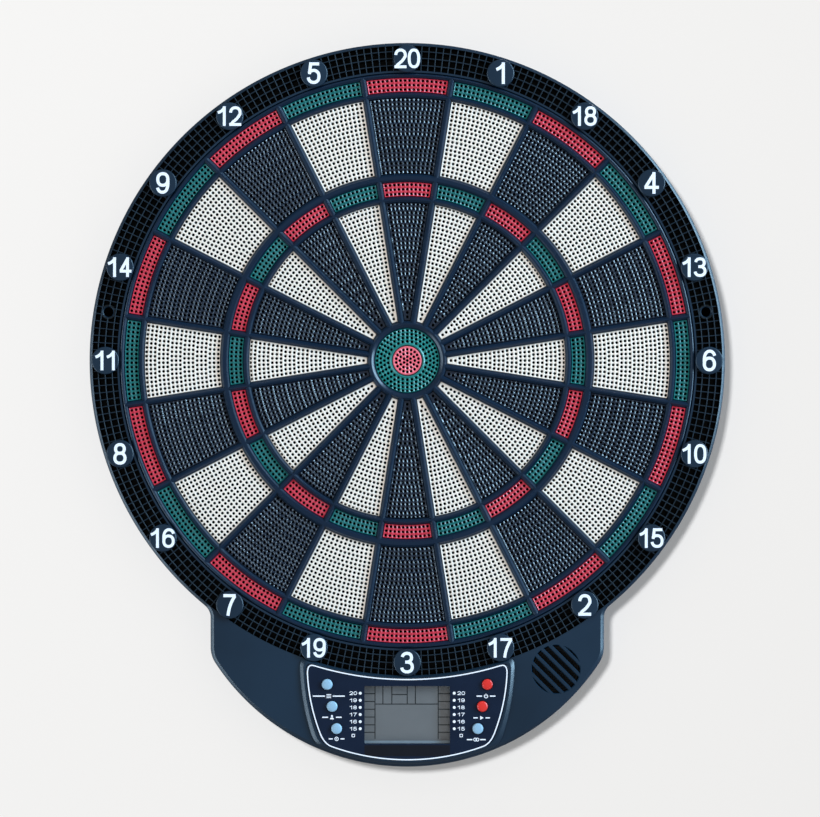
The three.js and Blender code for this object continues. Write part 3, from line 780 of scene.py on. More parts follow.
def build_spider():
    """The web: 80 openings round the hub's hole, with rounded bars between them."""
    steps, sectors = 10, len(NUMBERS)
    per = steps + 1
    order = np.linspace(-1, 1, per)
    rings = list(RINGS.values())
    vertices, faces = [], []

    def add_arc(radius, depth, sector, half, order=order):
        start = len(vertices)
        for u in order:
            x, z = polar(radius, sector * SECTOR + half * u)
            vertices.append((x, depth, z))
        return list(range(start, len(vertices)))

    def opening_loop(sector, ring, depth, growth):
        inner, outer, margin = ring["inner"] - growth, ring["outer"] + growth, BAR_HALF - growth
        loop = add_arc(outer, depth, sector, half_arc(outer, margin))
        return loop + add_arc(inner, depth, sector, half_arc(inner, margin), order[::-1])

    def circle_loop(radius, depth, half):
        """A circle whose points lie at the angles of an opening's arc in each sector."""
        return [v for i in range(sectors) for v in add_arc(radius, depth, i, half)]

    def connect(loops):
        for a, b in zip(loops, loops[1:]):
            faces.extend(ring_quads(a, b))

    def strip(a, b):
        for k in range(len(a) - 1):
            faces.append((a[k], a[k + 1], b[k + 1], b[k]))

    fronts, backs = {}, {}
    for i in range(sectors):
        for r, ring in enumerate(rings):
            loops = [opening_loop(i, ring, depth, growth) for depth, growth in BAR_PROFILE]
            connect(loops)
            backs[i, r], fronts[i, r] = loops[0], loops[-1]

    growth = BAR_PROFILE[-1][1]
    outer_front = half_arc(rings[0]["outer"] + growth, BAR_HALF - growth)
    outer_back = half_arc(rings[0]["outer"], BAR_HALF)
    hub_front = half_arc(rings[-1]["inner"] - growth, BAR_HALF - growth)
    hub_back = half_arc(rings[-1]["inner"], BAR_HALF)
    hub_loops = [
        circle_loop(HUB_RADIUS + more, depth, hub_back if depth < 20 else hub_front)
        for depth, more in HUB_PROFILE
    ]
    connect(hub_loops)
    flange, (flange_back, flange_front) = SPIDER_FLANGE["outer"], SPIDER_FLANGE["depths"]
    rim_loops = [circle_loop(radius, depth, outer_front) for depth, radius in RIM_PROFILE]
    rim_loops.append(circle_loop(SPIDER_OUTER, flange_front, outer_front))
    rim_loops.append(circle_loop(flange, flange_front, outer_front))
    rim_loops.append(circle_loop(flange, flange_back, outer_back))
    connect(rim_loops)

    def web(loops, rim, hub):
        """The flat faces of one side. Each sector's edges are listed from the rim inwards."""
        edges = []
        for i in range(sectors):
            here = slice(i * per, (i + 1) * per)
            arcs = []
            for r in range(len(rings)):
                arcs += [loops[i, r][:per], loops[i, r][: per - 1 : -1]]
            edges.append([rim[here], *arcs, hub[here]])
        for here, beside in zip(edges, edges[1:] + edges[:1]):
            for k, (a, b) in enumerate(zip(here, here[1:])):
                if k % 2 == 0:  # a bar, and not an opening
                    strip(a, b)
                faces.append((a[-1], beside[k][0], beside[k + 1][0], b[-1]))

    web(fronts, rim_loops[0], hub_loops[-1])
    web(backs, rim_loops[-1], hub_loops[0])
    spider = new_object("spider_web", vertices, faces, sharp=40)
    finish_piece(spider, "spider_web", SPIDER_NAVY, "housing", ["spider"])


# ---- Front housing ----

# A moulded edge from the side to the front, as shares of its inset and of its drop.
BEVEL = [(0, 1.0), (0.03, 0.9), (0.12, 0.79), (0.8, 0.15), (0.91, 0.05), (1.0, 0), (1.14, 0)]


def quarter_round(radius, front, steps=4):
    """(inset, depth) along a rounded edge that ends on a flat front."""
    turns = [k / steps * math.pi / 2 for k in range(steps + 1)]
    return [(radius * (1 - math.cos(t)), front - radius * (1 - math.sin(t))) for t in turns]


def housing_loops():
    rear, front = HOUSING_DEPTHS
    edge, drop, chamfer = 3.0, 2.15, 0.4
    loops = [at_depth(housing_outline(chamfer), rear), at_depth(housing_outline(0), rear + chamfer)]
    for inward, down in BEVEL:
        outline = soft_outline(lambda softness: edge * softness * inward)
        loops.append([(x, front - drop * softness * down, z) for x, z, softness in outline])
    return loops


def pocket_loops():
    """The catch ring's pockets: four rows of cells between the ribs, each with a small chamfer at its mouth."""
    pitch = 2 * math.pi / RIBS["count"]
    half = RIBS["width"] / 2
    radii = RIBS["rings"]
    levels = [(CATCH["floor"], 0.25), (CATCH["top"] - 0.2, 0.0), (CATCH["top"] + 0.02, -0.2)]
    for row in range(len(radii) - 1):
        inner, outer = radii[row] + half, radii[row + 1] - half
        inner = max(inner, CATCH["inner"])
        outer = min(outer, CATCH["outer"])
        for k in range(RIBS["count"]):
            middle = (k + 0.5) * pitch
            loops = []
            for depth, shrink in levels:
                corners = []
                for r, side in ((inner, -1), (inner, 1), (outer, 1), (outer, -1)):
                    radius = r + (shrink if r == inner else -shrink)
                    angle = middle + side * (pitch / 2 - (half + shrink) / radius)
                    x, z = polar(radius, angle)
                    corners.append((x, depth, z))
                loops.append(corners)
            yield loops


def marked(tool):
    """Gives the faces that a tool leaves on the housing the housing's second material, the painted shade of its
    recesses.
    """
    for material in (NAVY, RECESS_SHADE):
        tool.data.materials.append(material)
    tool.data.polygons.foreach_set("material_index", np.ones(len(tool.data.polygons), dtype=np.int32))
    return tool


def build_housing():
    rear, front = HOUSING_DEPTHS
    beyond = front + 8
    floor_back = CATCH["floor"] - CATCH["floor_wall"]
    shell = loft("housing_shell", housing_loops())

    block = [(BLOCK["margin"], front - 1.5)]
    block += [(BLOCK["margin"] - BLOCK["inset"] * i, BLOCK["top"] - BLOCK["drop"] * d) for i, d in BEVEL]
    join(shell, inset_loft("block", panel_outline, block))

    cut(shell, lathe_ring("ring_recess", CATCH["inner"], CATCH["outer"], CATCH["top"], beyond, LARGE))
    for material in (NAVY, RECESS_SHADE):
        shell.data.materials.append(material)
    cut(shell, marked(many("pockets", [loft_parts(loops) for loops in pocket_loops()])))

    # The hollow behind the catch ring, the chin and the panel block, and the opening for the spider.
    cut(shell, prism("inside", housing_outline(WALL), rear - 1, floor_back))
    for outline, start, end in (
        (housing_outline(WALL), floor_back - 1, CHIN_ROOF),
        (panel_outline(BLOCK["margin"] - WALL), INSIDE_CHIN, BLOCK["roof"]),
    ):
        space = prism("space", outline, start, end)
        cut(space, rod(0, 0, RIM_KEEP, 0, beyond, LARGE))
        cut(shell, space)
    cut(shell, rod(0, 0, TARGET_RADIUS, rear - 1, beyond, LARGE))

    # Number discs.
    edge = 0.9
    for i in range(len(NUMBERS)):
        x, z = polar(DISC["ring"], i * SECTOR)
        profile = [(DISC["radius"], CATCH["floor"] - 0.5), (DISC["radius"], DISC["top"] - edge)]
        profile += [(DISC["radius"] - inset, d) for inset, d in quarter_round(edge, DISC["top"])[1:]]
        join(shell, lathe("disc", profile, x, z, 64))

    # Bosses and holes for the two wall screws. The bosses take the recesses' painted shade.
    boss, bore, end = WALL_SCREW["boss"], WALL_SCREW["bore"], WALL_SCREW["boss_end"]
    for x, z in WALL_SCREW_PLACES:
        profile = [(boss, COVER_SCREW["boss_rear"]), (boss, end), (boss - 0.5, end + 0.6)]
        join(shell, marked(lathe("boss", profile, x, z, SMALL)))
        profile = [(bore, rear - 1), (bore, end), (bore + 0.7, end + 0.7), (bore + 0.7, beyond)]
        cut(shell, lathe("bore", profile, x, z, SMALL))

    # Bosses and bores for the cover's screws.
    for node in COVER_SCREWS:
        x, z = centre_of(node)
        in_rim = node in RING_SCREWS
        roof = floor_back if in_rim else BLOCK["roof"] if abs(x) < PANEL["upper_x"] else CHIN_ROOF
        join(shell, rod(x, z, COVER_SCREW["boss"], COVER_SCREW["boss_rear"], roof + 0.5, 32))
        cut(shell, rod(x, z, COVER_SCREW["bore"], rear - 1, SCREW_HOLE_ENDS[in_rim], 24))
    collar = lathe_ring("collar", **COLLAR)
    collar.location = (SPEAKER["x"] * MM, 0, SPEAKER["z"] * MM)
    join(shell, collar)

    # Speaker slots, the overlay's seat, the display's seat and opening, and the button holes.
    cut(shell, many("slots", [loft_parts(loops) for loops in slot_loops()]))
    overlay_back = depths_of("control_panel")[0] - 0.3
    cut(shell, prism("overlay_seat", panel_outline(1.3), overlay_back, beyond))
    width, height, z = DISPLAY["half_width"], DISPLAY["half_height"], DISPLAY["z"]
    window_back = depths_of("display_window")[0] - 0.3
    cut(shell, prism("window_seat", rounded_box(0, z, width + 2.3, height + 2.3, 1), window_back, beyond))
    cut(shell, prism("display_hole", rounded_box(0, z, width, height, 0.6), INSIDE_CHIN, beyond))
    for node in BUTTON_NODES:
        cut(shell, rod(*centre_of(node), BUTTON["bore"], INSIDE_CHIN, beyond, 32))
    finish_piece(shell, "housing_moulding", NAVY, "housing", ["front_housing"], second=RECESS_SHADE)


def slot_loops():
    """Slots that end on the grille's circle, from upper left to lower right, with bevelled mouths."""
    x, z = SPEAKER["x"], SPEAKER["z"]
    direction = (math.cos(-math.pi / 4), math.sin(-math.pi / 4))
    across = (-direction[1], direction[0])
    for row in range(-3, 4):
        loops = []
        for depth, grow in ((24.0, 0), (27.2, 0), (28.1, 0.6)):
            radius = SPEAKER["grille"] + grow
            half = SPEAKER["slot"] / 2 + grow
            first = max(row * SPEAKER["pitch"] - half, -radius + 0.1)
            last = min(row * SPEAKER["pitch"] + half, radius - 0.1)
            offsets = np.linspace(first, last, 9)
            outline = []
            for end, order in ((1, offsets), (-1, offsets[::-1])):
                for offset in order:
                    along = end * math.sqrt(radius**2 - offset**2)
                    outline.append((
                        x + along * direction[0] + offset * across[0],
                        z + along * direction[1] + offset * across[1],
                    ))
            loops.append(at_depth(outline, depth))
        yield loops


# ---- Flat print: numerals, lines and marks ----


def flat_shape(name, polygons, start, end):
    """One thin solid from flat polygons that may overlap."""
    points, faces = [], []
    for polygon in polygons:
        faces.append(list(range(len(points), len(points) + len(polygon))))
        points += [Vector(p) for p in polygon]
    found = delaunay_2d_cdt(points, [], faces, 0, 1e-5)
    merged, triangles, origins = found[0], found[2], found[5]
    kept = [t for t, origin in zip(triangles, origins) if origin]
    used = {}
    for t in kept:
        for a, b in zip(t, t[1:] + t[:1]):
            used[(a, b)] = True
    count = len(merged)
    vertices = [(p[0], start, p[1]) for p in merged] + [(p[0], end, p[1]) for p in merged]
    solid = [tuple(t) for t in kept] + [tuple(i + count for i in t) for t in kept]
    solid += [(a, b, b + count, a + count) for a, b in used if (b, a) not in used]
    mesh_points = sorted({i for face in solid for i in face})
    place = {old: new for new, old in enumerate(mesh_points)}
    return new_object(name, [vertices[i] for i in mesh_points], [tuple(place[i] for i in f) for f in solid])


def print_piece(name, polygons, start, end, material=PRINT, slot="panel_print", nodes=()):
    finish_piece(flat_shape(name, polygons, start, end), name, material, slot, nodes)


def stroke(path, width, closed=False):
    """Quads along a line, mitred where it turns."""
    points = [Vector(p) for p in path]
    count = len(points)
    sides = []
    for i, point in enumerate(points):
        before = points[i - 1] if closed or i > 0 else None
        after = points[(i + 1) % count] if closed or i < count - 1 else None
        directions = [(b - a).normalized() for a, b in ((before, point), (point, after)) if a and b]
        normals = [Vector((-d.y, d.x)) for d in directions]
        normal = sum(normals, Vector((0, 0))).normalized()
        reach = width / 2 / max(0.5, normal.dot(normals[0]))
        sides.append((point + normal * reach, point - normal * reach))
    pairs = list(zip(sides, sides[1:] + (sides[:1] if closed else [])))
    return [[tuple(a[0]), tuple(a[1]), tuple(b[1]), tuple(b[0])] for a, b in pairs]


def ellipse(x, y, rx, ry, start, end, count=18, power=2.0):
    """Points on an ellipse, or on a squarer shape where power is over 2. Angles are in degrees."""
    points = []
    for a in np.radians(np.linspace(start, end, count + 1)):
        c, s = math.cos(a), math.sin(a)
        points.append((
            x + rx * math.copysign(abs(c) ** (2 / power), c),
            y + ry * math.copysign(abs(s) ** (2 / power), s),
        ))
    return points


def curve(a, b, c, count=10):
    return [tuple(bezier(a, b, c, t)) for t in np.linspace(0, 1, count + 1)]


# Each digit's strokes on a unit square, as (points, closed).
DIGITS = {
    "0": [(ellipse(0.5, 0.5, 0.5, 0.5, 0, 360, 36, 2.4)[:-1], True)],
    "1": [([(1, -0.12), (1, 1.12)], False), (curve((1.0, 1.0), (0.6, 0.78), (-0.3, 0.7)), False)],
    "2": [
        (ellipse(0.5, 0.69, 0.5, 0.31, 178, -12, 18, 2.2) + curve((0.92, 0.56), (0.72, 0.34), (0.28, 0.17), 6)
         + curve((0.2, 0.12), (0.08, 0.05), (0.02, -0.06), 4), False),
        ([(-0.14, 0), (1.12, 0)], False),
    ],
    "3": [
        (ellipse(0.47, 0.765, 0.45, 0.235, 172, -90, 18, 2.2) + [(0.3, 0.53)], False),
        ([(0.3, 0.53)] + ellipse(0.48, 0.265, 0.52, 0.265, 90, -174, 20, 2.2), False),
    ],
    "4": [
        ([(0.7, -0.12), (0.7, 1.12)], False),
        ([(0.72, 1.02), (0.0, 0.3)], False),
        ([(-0.12, 0.26), (1.12, 0.26)], False),
    ],
    "5": [
        ([(0.12, 1), (1.02, 1)], False),
        ([(0.2, 1.1), (0.06, 0.45)], False),
        (ellipse(0.47, 0.325, 0.53, 0.325, 148, -172, 22, 2.2), False),
    ],
    "6": [
        (ellipse(0.5, 0.315, 0.5, 0.315, 0, 360, 28, 2.2)[:-1], True),
        (ellipse(0.54, 0.5, 0.54, 0.5, 200, 28, 22, 2.3), False),
    ],
    "7": [([(-0.12, 1), (1.1, 1)], False), (curve((1.02, 0.98), (0.42, 0.5), (0.33, -0.12), 12), False)],
    "8": [
        (ellipse(0.5, 0.765, 0.43, 0.235, 0, 360, 26, 2.2)[:-1], True),
        (ellipse(0.5, 0.27, 0.5, 0.27, 0, 360, 28, 2.2)[:-1], True),
    ],
}
DIGITS["9"] = [([(1 - x, 1 - y) for x, y in path], closed) for path, closed in DIGITS["6"]]
ONE_WIDTH = 0.64  # the share of a digit's width that a 1 has
ONE_GAP = 0.2  # the wider gap after a 1, as a share of a digit's width


def numeral(text, x, z, height, digit_width, weight, gap):
    """Quads of a number that is centred on x, z."""
    widths = [digit_width * (ONE_WIDTH if digit == "1" else 1) for digit in text]
    gaps = [gap + digit_width * (ONE_GAP if digit == "1" else 0) for digit in text]
    left = x - (sum(widths) + sum(gaps[:-1])) / 2
    quads = []
    for digit, width, gap_after in zip(text, widths, gaps):
        for path, closed in DIGITS[digit]:
            box_width, box_height = width - weight, height - weight
            points = []
            for u, v in path:
                u = min(max(u, -weight / 2 / box_width), 1 + weight / 2 / box_width)
                v = min(max(v, -weight / 2 / box_height), 1 + weight / 2 / box_height)
                points.append((left + weight / 2 + u * box_width, z - height / 2 + weight / 2 + v * box_height))
            quads += stroke(points, weight, closed)
        left += width + gap_after
    return quads


def build_numerals():
    for i, number in enumerate(NUMBERS):
        text = str(number)
        height, width, weight, gap = DIGIT_SIZES[len(text)]
        if number == 4:
            width += WIDE_FOUR
        quads = numeral(text, *polar(DISC["ring"], i * SECTOR), height, width, weight, gap)
        print_piece(f"numeral_{number}", quads, DISC["top"] - 0.1, DISC["top"] + 0.1, NUMERAL_INK)


# ---- Control panel ----


def build_panel():
    back, front = depths_of("control_panel")
    film = inset_loft("film", panel_outline, [(1, back), (1, front - 0.15), (0.85, front)])
    width, height, z = DISPLAY["half_width"], DISPLAY["half_height"], DISPLAY["z"]
    cut(film, prism("display_hole", rounded_box(0, z, width, height, 0.6), back - 1, front + 1))
    for node in BUTTON_NODES:
        cut(film, rod(*centre_of(node), BUTTON["bore"], back - 1, front + 1))
    finish_piece(film, "panel_overlay", OVERLAY, "panel_print", ["control_panel"])

    ink = (front - 0.05, front + 0.05)
    print_piece("panel_pinstripe", stroke(panel_outline(0), 0.8, True), *ink)

    # A darker printed band lies under the display.
    top, bottom = z - height - 0.9, z - height - 8.6
    band = [(-width, top), (-width, bottom), (width, bottom), (width, top)]
    print_piece("panel_band", [band], front - 0.05, front + 0.03, BAND_INK)

    # The score scale on both sides of the display: a dot and a number in each row, and a box for the bull.
    marks = []
    first_z, pitch, bull_z = -229.4, 4.9, -258.6
    dot_x, number_x = 32.4, 37.2
    for side in (-1, 1):
        for row, number in enumerate(range(20, 14, -1)):
            mark_z = first_z - pitch * row
            marks.append(circle(side * dot_x, mark_z, 1.0, 16))
            marks += numeral(str(number), side * number_x, mark_z, 2.5, 2.4, 0.4, 0.4)
        marks += stroke(rounded_box(side * number_x, bull_z, 0.9, 0.9, 0.2, 2), 0.45, True)
    print_piece("panel_scale", marks, *ink)
    print_piece("panel_function_marks", function_marks(), *ink)


def function_marks():
    """A plain pictogram under each button, between two dashes."""
    weight = 0.5
    places = {
        "mode_button": (-54.1, -231.4, 22),
        "player_button": (-51.9, -246.0, 13.4),
        "game_button": (-48.7, -260.9, 10.8),
        "power_button": (54.3, -231.4, 13),
        "start_button": (51.3, -246.4, 11.4),
        "double_button": (47.6, -261.4, 13),
    }
    shapes = []
    for node, (x, z, width) in places.items():
        if node == "mode_button":
            for row in (-1, 0, 1):
                shapes += stroke([(x - 1.6, z + row * 1.05), (x + 1.6, z + row * 1.05)], weight)
        elif node == "player_button":
            shapes.append(circle(x, z + 0.85, 0.72, 16))
            shapes.append(arc(x, z - 1.4, 1.35, 0, math.pi, 12))
        elif node == "game_button":
            shapes += stroke(circle(x, z, 1.2, 20), weight, True)
            shapes.append(circle(x, z, 0.4, 12))
        elif node == "power_button":
            shapes += stroke(arc(x, z - 0.1, 1.2, math.radians(125), math.radians(415), 18), weight)
            shapes += stroke([(x, z), (x, z + 1.6)], weight)
        elif node == "start_button":
            shapes.append([(x - 1.0, z - 1.3), (x + 1.4, z), (x - 1.0, z + 1.3)])
        else:
            for side in (-1, 1):
                shapes += stroke(circle(x + side * 0.75, z, 1.05, 18), weight * 0.9, True)
        inner, outer = 2.7, width / 2
        for side in (-1, 1):
            shapes += stroke([(x + side * inner, z), (x + side * outer, z)], 0.8)
    return shapes


def build_display():
    back, front = depths_of("display_module")
    z, width, height = DISPLAY["z"], DISPLAY["half_width"], DISPLAY["half_height"]
    module_width, module_height = half_sizes("display_module")
    module = stepped_box("module", 0, z, [
        (module_width, module_height, 0.8, back),
        (module_width, module_height, 0.8, front - 0.5),
        (module_width - 0.3, module_height - 0.3, 0.8, front - 0.25),
    ])
    finish_piece(module, "display_frame", DARK, "display", ["display_module"])
    glass = prism("glass", rounded_box(0, z, width + 1.5, height + 1.2, 0.3), front - 0.3, front)
    finish_piece(glass, "display_glass", GLASS, "display", ["display_module"])

    # The lines that the display's glass carries. Positions are shares of its half width and half height.
    left, right = -0.755, 0.725
    lines = [((left, -0.85), (left, 1)), ((right, -0.85), (right, 1)), ((left, 0.36), (right, 0.36))]
    for level in (0.72, 0.45, 0.18, -0.09, -0.36, -0.62):
        lines += [((-1, level), (left, level)), ((right, level), (1, level))]
    lines += [((x, 0.36), (x, 1)) for x in (-0.57, -0.36, 0.0, 0.19)]
    lines.append(((-0.36, 0.69), (0.0, 0.69)))
    shapes = []
    for ends in lines:
        shapes += stroke([(u * width, z + v * height) for u, v in ends], 0.62)
    of_module = dict(slot="display", nodes=["display_module"])
    print_piece("display_lines", shapes, front - 0.02, front + 0.03, LCD_INK, **of_module)
    low_z, high_z = z - height, z - height * 0.91
    strip = [(-width, low_z), (width, low_z), (width, high_z), (-width, high_z)]
    print_piece("display_edge", [strip], front - 0.02, front + 0.04, LCD_EDGE, **of_module)

    back, front = depths_of("display_window")
    pane_width, pane_height = half_sizes("display_window")
    pane = stepped_box("pane", 0, z, [
        (pane_width, pane_height, 0.8, back),
        (pane_width, pane_height, 0.8, front - 0.1),
        (pane_width - 0.1, pane_height - 0.1, 0.8, front),
    ])
    finish_piece(pane, "display_pane", WINDOW, "window", ["display_window"])


def build_buttons():
    radius, flange = BUTTON["radius"], BUTTON["flange"]
    for node, colour in BUTTON_NODES.items():
        rear, top = depths_of(node)
        profile = [(flange - 0.1, rear), (flange, rear + 0.1), (flange, rear + 1.2), (flange - 0.1, rear + 1.3)]
        profile += [(radius, rear + 1.3), (radius, top - 1.15), (3.62, top - 0.85), (3.42, top - 0.58)]
        profile += [(3.1, top - 0.36), (2.5, top - 0.18), (1.7, top - 0.07), (0.8, top)]
        cap = lathe("cap", profile, *centre_of(node), 48, sharp=40)
        finish_piece(cap, f"{node}_cap", BUTTON_COLOURS[colour], f"button_{colour}", [node], node)


def build_speaker():
    rear, front = depths_of("speaker")
    magnet = [(1.2, rear), (7.6, rear), (8, rear + 0.4), (8, rear + 6.6), (7.6, rear + 7), (10, rear + 7.4)]
    basket = [(12.5, rear + 9.4), (15.6, rear + 9.8), (16, rear + 10.2), (16, front - 0.3), (15.7, front)]
    surround = [(14.6, front), (14.4, front - 0.5), (13.6, front - 0.15), (12.7, front - 0.5)]
    cone = [(12.3, front - 1.1), (8.0, front - 2.6), (4.8, front - 3.4)]
    cap = [(4.3, front - 2.9), (3.0, front - 2.3), (1.2, front - 2.0)]
    profile = magnet + basket + surround + cone + cap
    made = lathe("speaker", profile, SPEAKER["x"], SPEAKER["z"], 72, sharp=30)
    finish_piece(made, "speaker_driver", RUBBER, "mat_rubber", ["speaker"])


# ---- Rear ----


def build_cover():
    """The rear cover with its ribs, its battery tray and the holes for all the screws."""
    plate_back, plate_front = COVER["plate"]
    into_plate = plate_back + 0.1
    beyond = 20
    edge, inner = COVER["edge"], COVER["edge"] + COVER["rim"]
    cover = prism("cover", housing_outline(edge), plate_back, plate_front)
    rim = inset_loft("rim", housing_outline, [(edge + 0.5, 0), (edge, 0.5), (edge, into_plate)])
    cut(rim, inset_loft("inner_rim", housing_outline, [(inner - 0.4, -0.1), (inner, 0.4), (inner, 8)]))
    join(cover, rim)
    for radius in COVER_RIBS["rings"]:
        half = COVER_RIBS["half_width"]
        join(cover, lathe_ring("ring_rib", radius - half, radius + half, 0, into_plate, 180))
    hub = COVER["hub"]
    join(cover, lathe("hub", [(hub - 0.6, 0), (hub, 0.6), (hub, into_plate)], 0, 0, 90))
    radial_ribs(cover, into_plate)
    clamp_front = SPIDER_FLANGE["depths"][0] - 0.3
    join(cover, lathe_ring("clamp", *COVER["clamp"], plate_front - 1, clamp_front, LARGE))
    for x, z in WALL_SCREW_PLACES:
        join(cover, rod(x, z, WALL_SCREW["boss"], 0, into_plate))
    well = COVER_SCREW["well"]
    for node in COVER_SCREWS:
        join(cover, lathe("well", [(well - 0.2, 0.6), (well, 0.8), (well, into_plate)], *centre_of(node), 36))

    middle, wall = DISPLAY["z"], TRAY["wall"]
    width, height = TRAY["half_width"], TRAY["half_height"]
    box = rounded_box(0, middle, width + wall, height + wall, 1.4)
    join(cover, prism("tray", box, 0, TRAY["roof"] + TRAY["roof_wall"]))
    cut(cover, prism("tray_space", rounded_box(0, middle, width, height, 0.4), -1, TRAY["roof"]))
    notch = [(40, -205), (60, -205), (60, -180), (40, -180)]
    cut(cover, prism("ribbon_notch", notch, plate_front, beyond))
    for x, z in WALL_SCREW_PLACES:
        cut(cover, rod(x, z, WALL_SCREW["bore"], -1, beyond))
    for node in COVER_SCREWS:
        cut(cover, rod(*centre_of(node), COVER_SCREW["access"], -1, plate_back, 36))
        cut(cover, rod(*centre_of(node), COVER_SCREW["bore"], -1, beyond, 24))
    finish_piece(cover, "cover_moulding", DARK, "cover", ["rear_cover"])


def radial_ribs(cover, top):
    """Every second rib starts at the hub, and the others at the first ring."""
    for k in range(COVER_RIBS["radial"]):
        angle = (2 * k + 1) * math.pi / COVER_RIBS["radial"]
        across = polar(1, angle + math.pi / 2)
        start, end = COVER_RIBS["rings"][0] if k % 2 else COVER_RIBS["start"], COVER_RIBS["end"]
        loops = []
        for depth, half in ((0.0, 0.75), (0.3, 1.0), (top, 1.0)):
            corners = []
            for radius, side in ((start, -1), (end, -1), (end, 1), (start, 1)):
                x, z = polar(radius, angle)
                corners.append((x + side * half * across[0], depth, z + side * half * across[1]))
            loops.append(corners)
        join(cover, loft("radial_rib", loops))


def build_screws():
    """Pan-head screws with a cross recess."""
    for i, node in enumerate(COVER_SCREWS):
        x, z = centre_of(node)
        rear = depths_of(node)[0]
        tip = SCREW_TIPS[node in RING_SCREWS]
        profile = [(1.6, rear), (2.2, rear + 0.08), (2.75, rear + 0.35), (3, rear + 0.8), (3, 3.7), (1.25, 3.7)]
        depth = 4.6
        while depth < tip - 1.6:
            profile += [(1.05, depth), (1.25, depth + 0.25), (1.05, depth + 0.5)]
            depth += 0.8
        screw = lathe("screw", profile + [(1.0, tip - 1.4), (0.2, tip)], x, z, 28, sharp=25)
        for turn in (math.pi / 4, 3 * math.pi / 4):
            cx, cz = math.cos(turn), math.sin(turn)
            recess = [
                (x + u * 1.5 * cx - v * 0.28 * cz, z + u * 1.5 * cz + v * 0.28 * cx)
                for u, v in ((-1, -1), (1, -1), (1, 1), (-1, 1))
            ]
            cut(screw, prism("recess", recess, rear - 1, rear + 0.9))
        finish_piece(screw, f"screw_{i + 1}", STEEL, "steel", [node])


def build_door():
    """The battery door: a plate with a grip recess, three grip bars and a groove at each side."""
    back, front = depths_of("battery_door")
    width, height = half_sizes("battery_door")
    z = centre_of("battery_door")[1]
    door = stepped_box("door", 0, z, [
        (width - 0.25, height - 0.25, 1.2, back),
        (width, height, 1.4, back + 0.25),
        (width, height, 1.4, front),
    ])
    grip_z = z - height + 6.5
    grip = [(9.0, 4.6, 4.2, back - 0.5), (9.0, 4.6, 4.2, back), (8.2, 3.8, 3.6, back + 0.8)]
    cut(door, stepped_box("thumb", 0, grip_z, grip, 8))
    for row in (-1, 0, 1):
        bar = rounded_box(0, grip_z + row * 2.0, 6.0, 0.35, 0.3, 3)
        join(door, prism("bar", bar, back + 0.25, back + 1.2))
    for side in (-1, 1):
        groove = rounded_box(side * (width - 4), z, 0.4, height - 4, 0.3, 3)
        cut(door, prism("groove", groove, back - 1, back + 0.35))
    finish_piece(door, "battery_door_plate", DARK, "cover", ["battery_door"], "battery_door")


def turned_along_x(name, profile, depth, z, sides, facing):
    """A solid of revolution about a line along X. The profile's points are (radius, x)."""
    loops = []
    for radius, x in profile:
        loops.append([(facing * x, depth + a, z + b) for a, b in circle(0, 0, radius, sides)])
    return loft(name, loops)


def sweep(name, path, radius, sides=10):
    """A round wire along points (x, depth, z)."""
    points = [Vector(p) for p in path]
    side = Vector((0.3, 0.2, 1)).normalized()
    loops = []
    for i, point in enumerate(points):
        ahead = (points[min(i + 1, len(points) - 1)] - points[max(i - 1, 0)]).normalized()
        side = (side - ahead * side.dot(ahead)).normalized()
        other = ahead.cross(side)
        turns = np.linspace(0, 2 * math.pi, sides + 1)[:-1]
        loops.append([tuple(point + (side * math.cos(t) + other * math.sin(t)) * radius) for t in turns])
    return loft(name, loops, sharp=60)


def build_batteries():
    depth, middle, end = CELL["depth"], DISPLAY["z"], CELL["length"] / 2
    radius = CELL["radius"]
    sleeve = [(6.6, -end), (7.0, -end + 0.15), (radius, -end + 0.6)]
    sleeve += [(radius, end - 2.2), (6.9, end - 1.8), (6.2, end - 1.6)]
    band = [(radius + 0.04, end - 14), (radius + 0.06, end - 13.9)]
    band += [(radius + 0.06, end - 2.5), (radius + 0.04, end - 2.4)]
    cap = [(5.8, end - 1.8), (5.8, end - 1.45), (2.9, end - 1.35), (2.7, end - 1.1)]
    cap += [(2.7, end - 0.2), (2.4, end), (0.4, end)]
    for i in range(3):
        z = middle + (1 - i) * CELL["pitch"]
        facing = -1 if i % 2 else 1
        for part, profile, sides, material, slot in (
            ("sleeve", sleeve, 48, SLEEVE, "cell_sleeve"),
            ("band", band, 48, BAND_METAL, "cell_sleeve"),
            ("cap", cap, 32, STEEL, "steel"),
        ):
            made = turned_along_x(part, profile, depth, z, sides, facing)
            finish_piece(made, f"cell_{part}_{i + 1}", material, slot, [f"battery_cell_{i + 1}"])


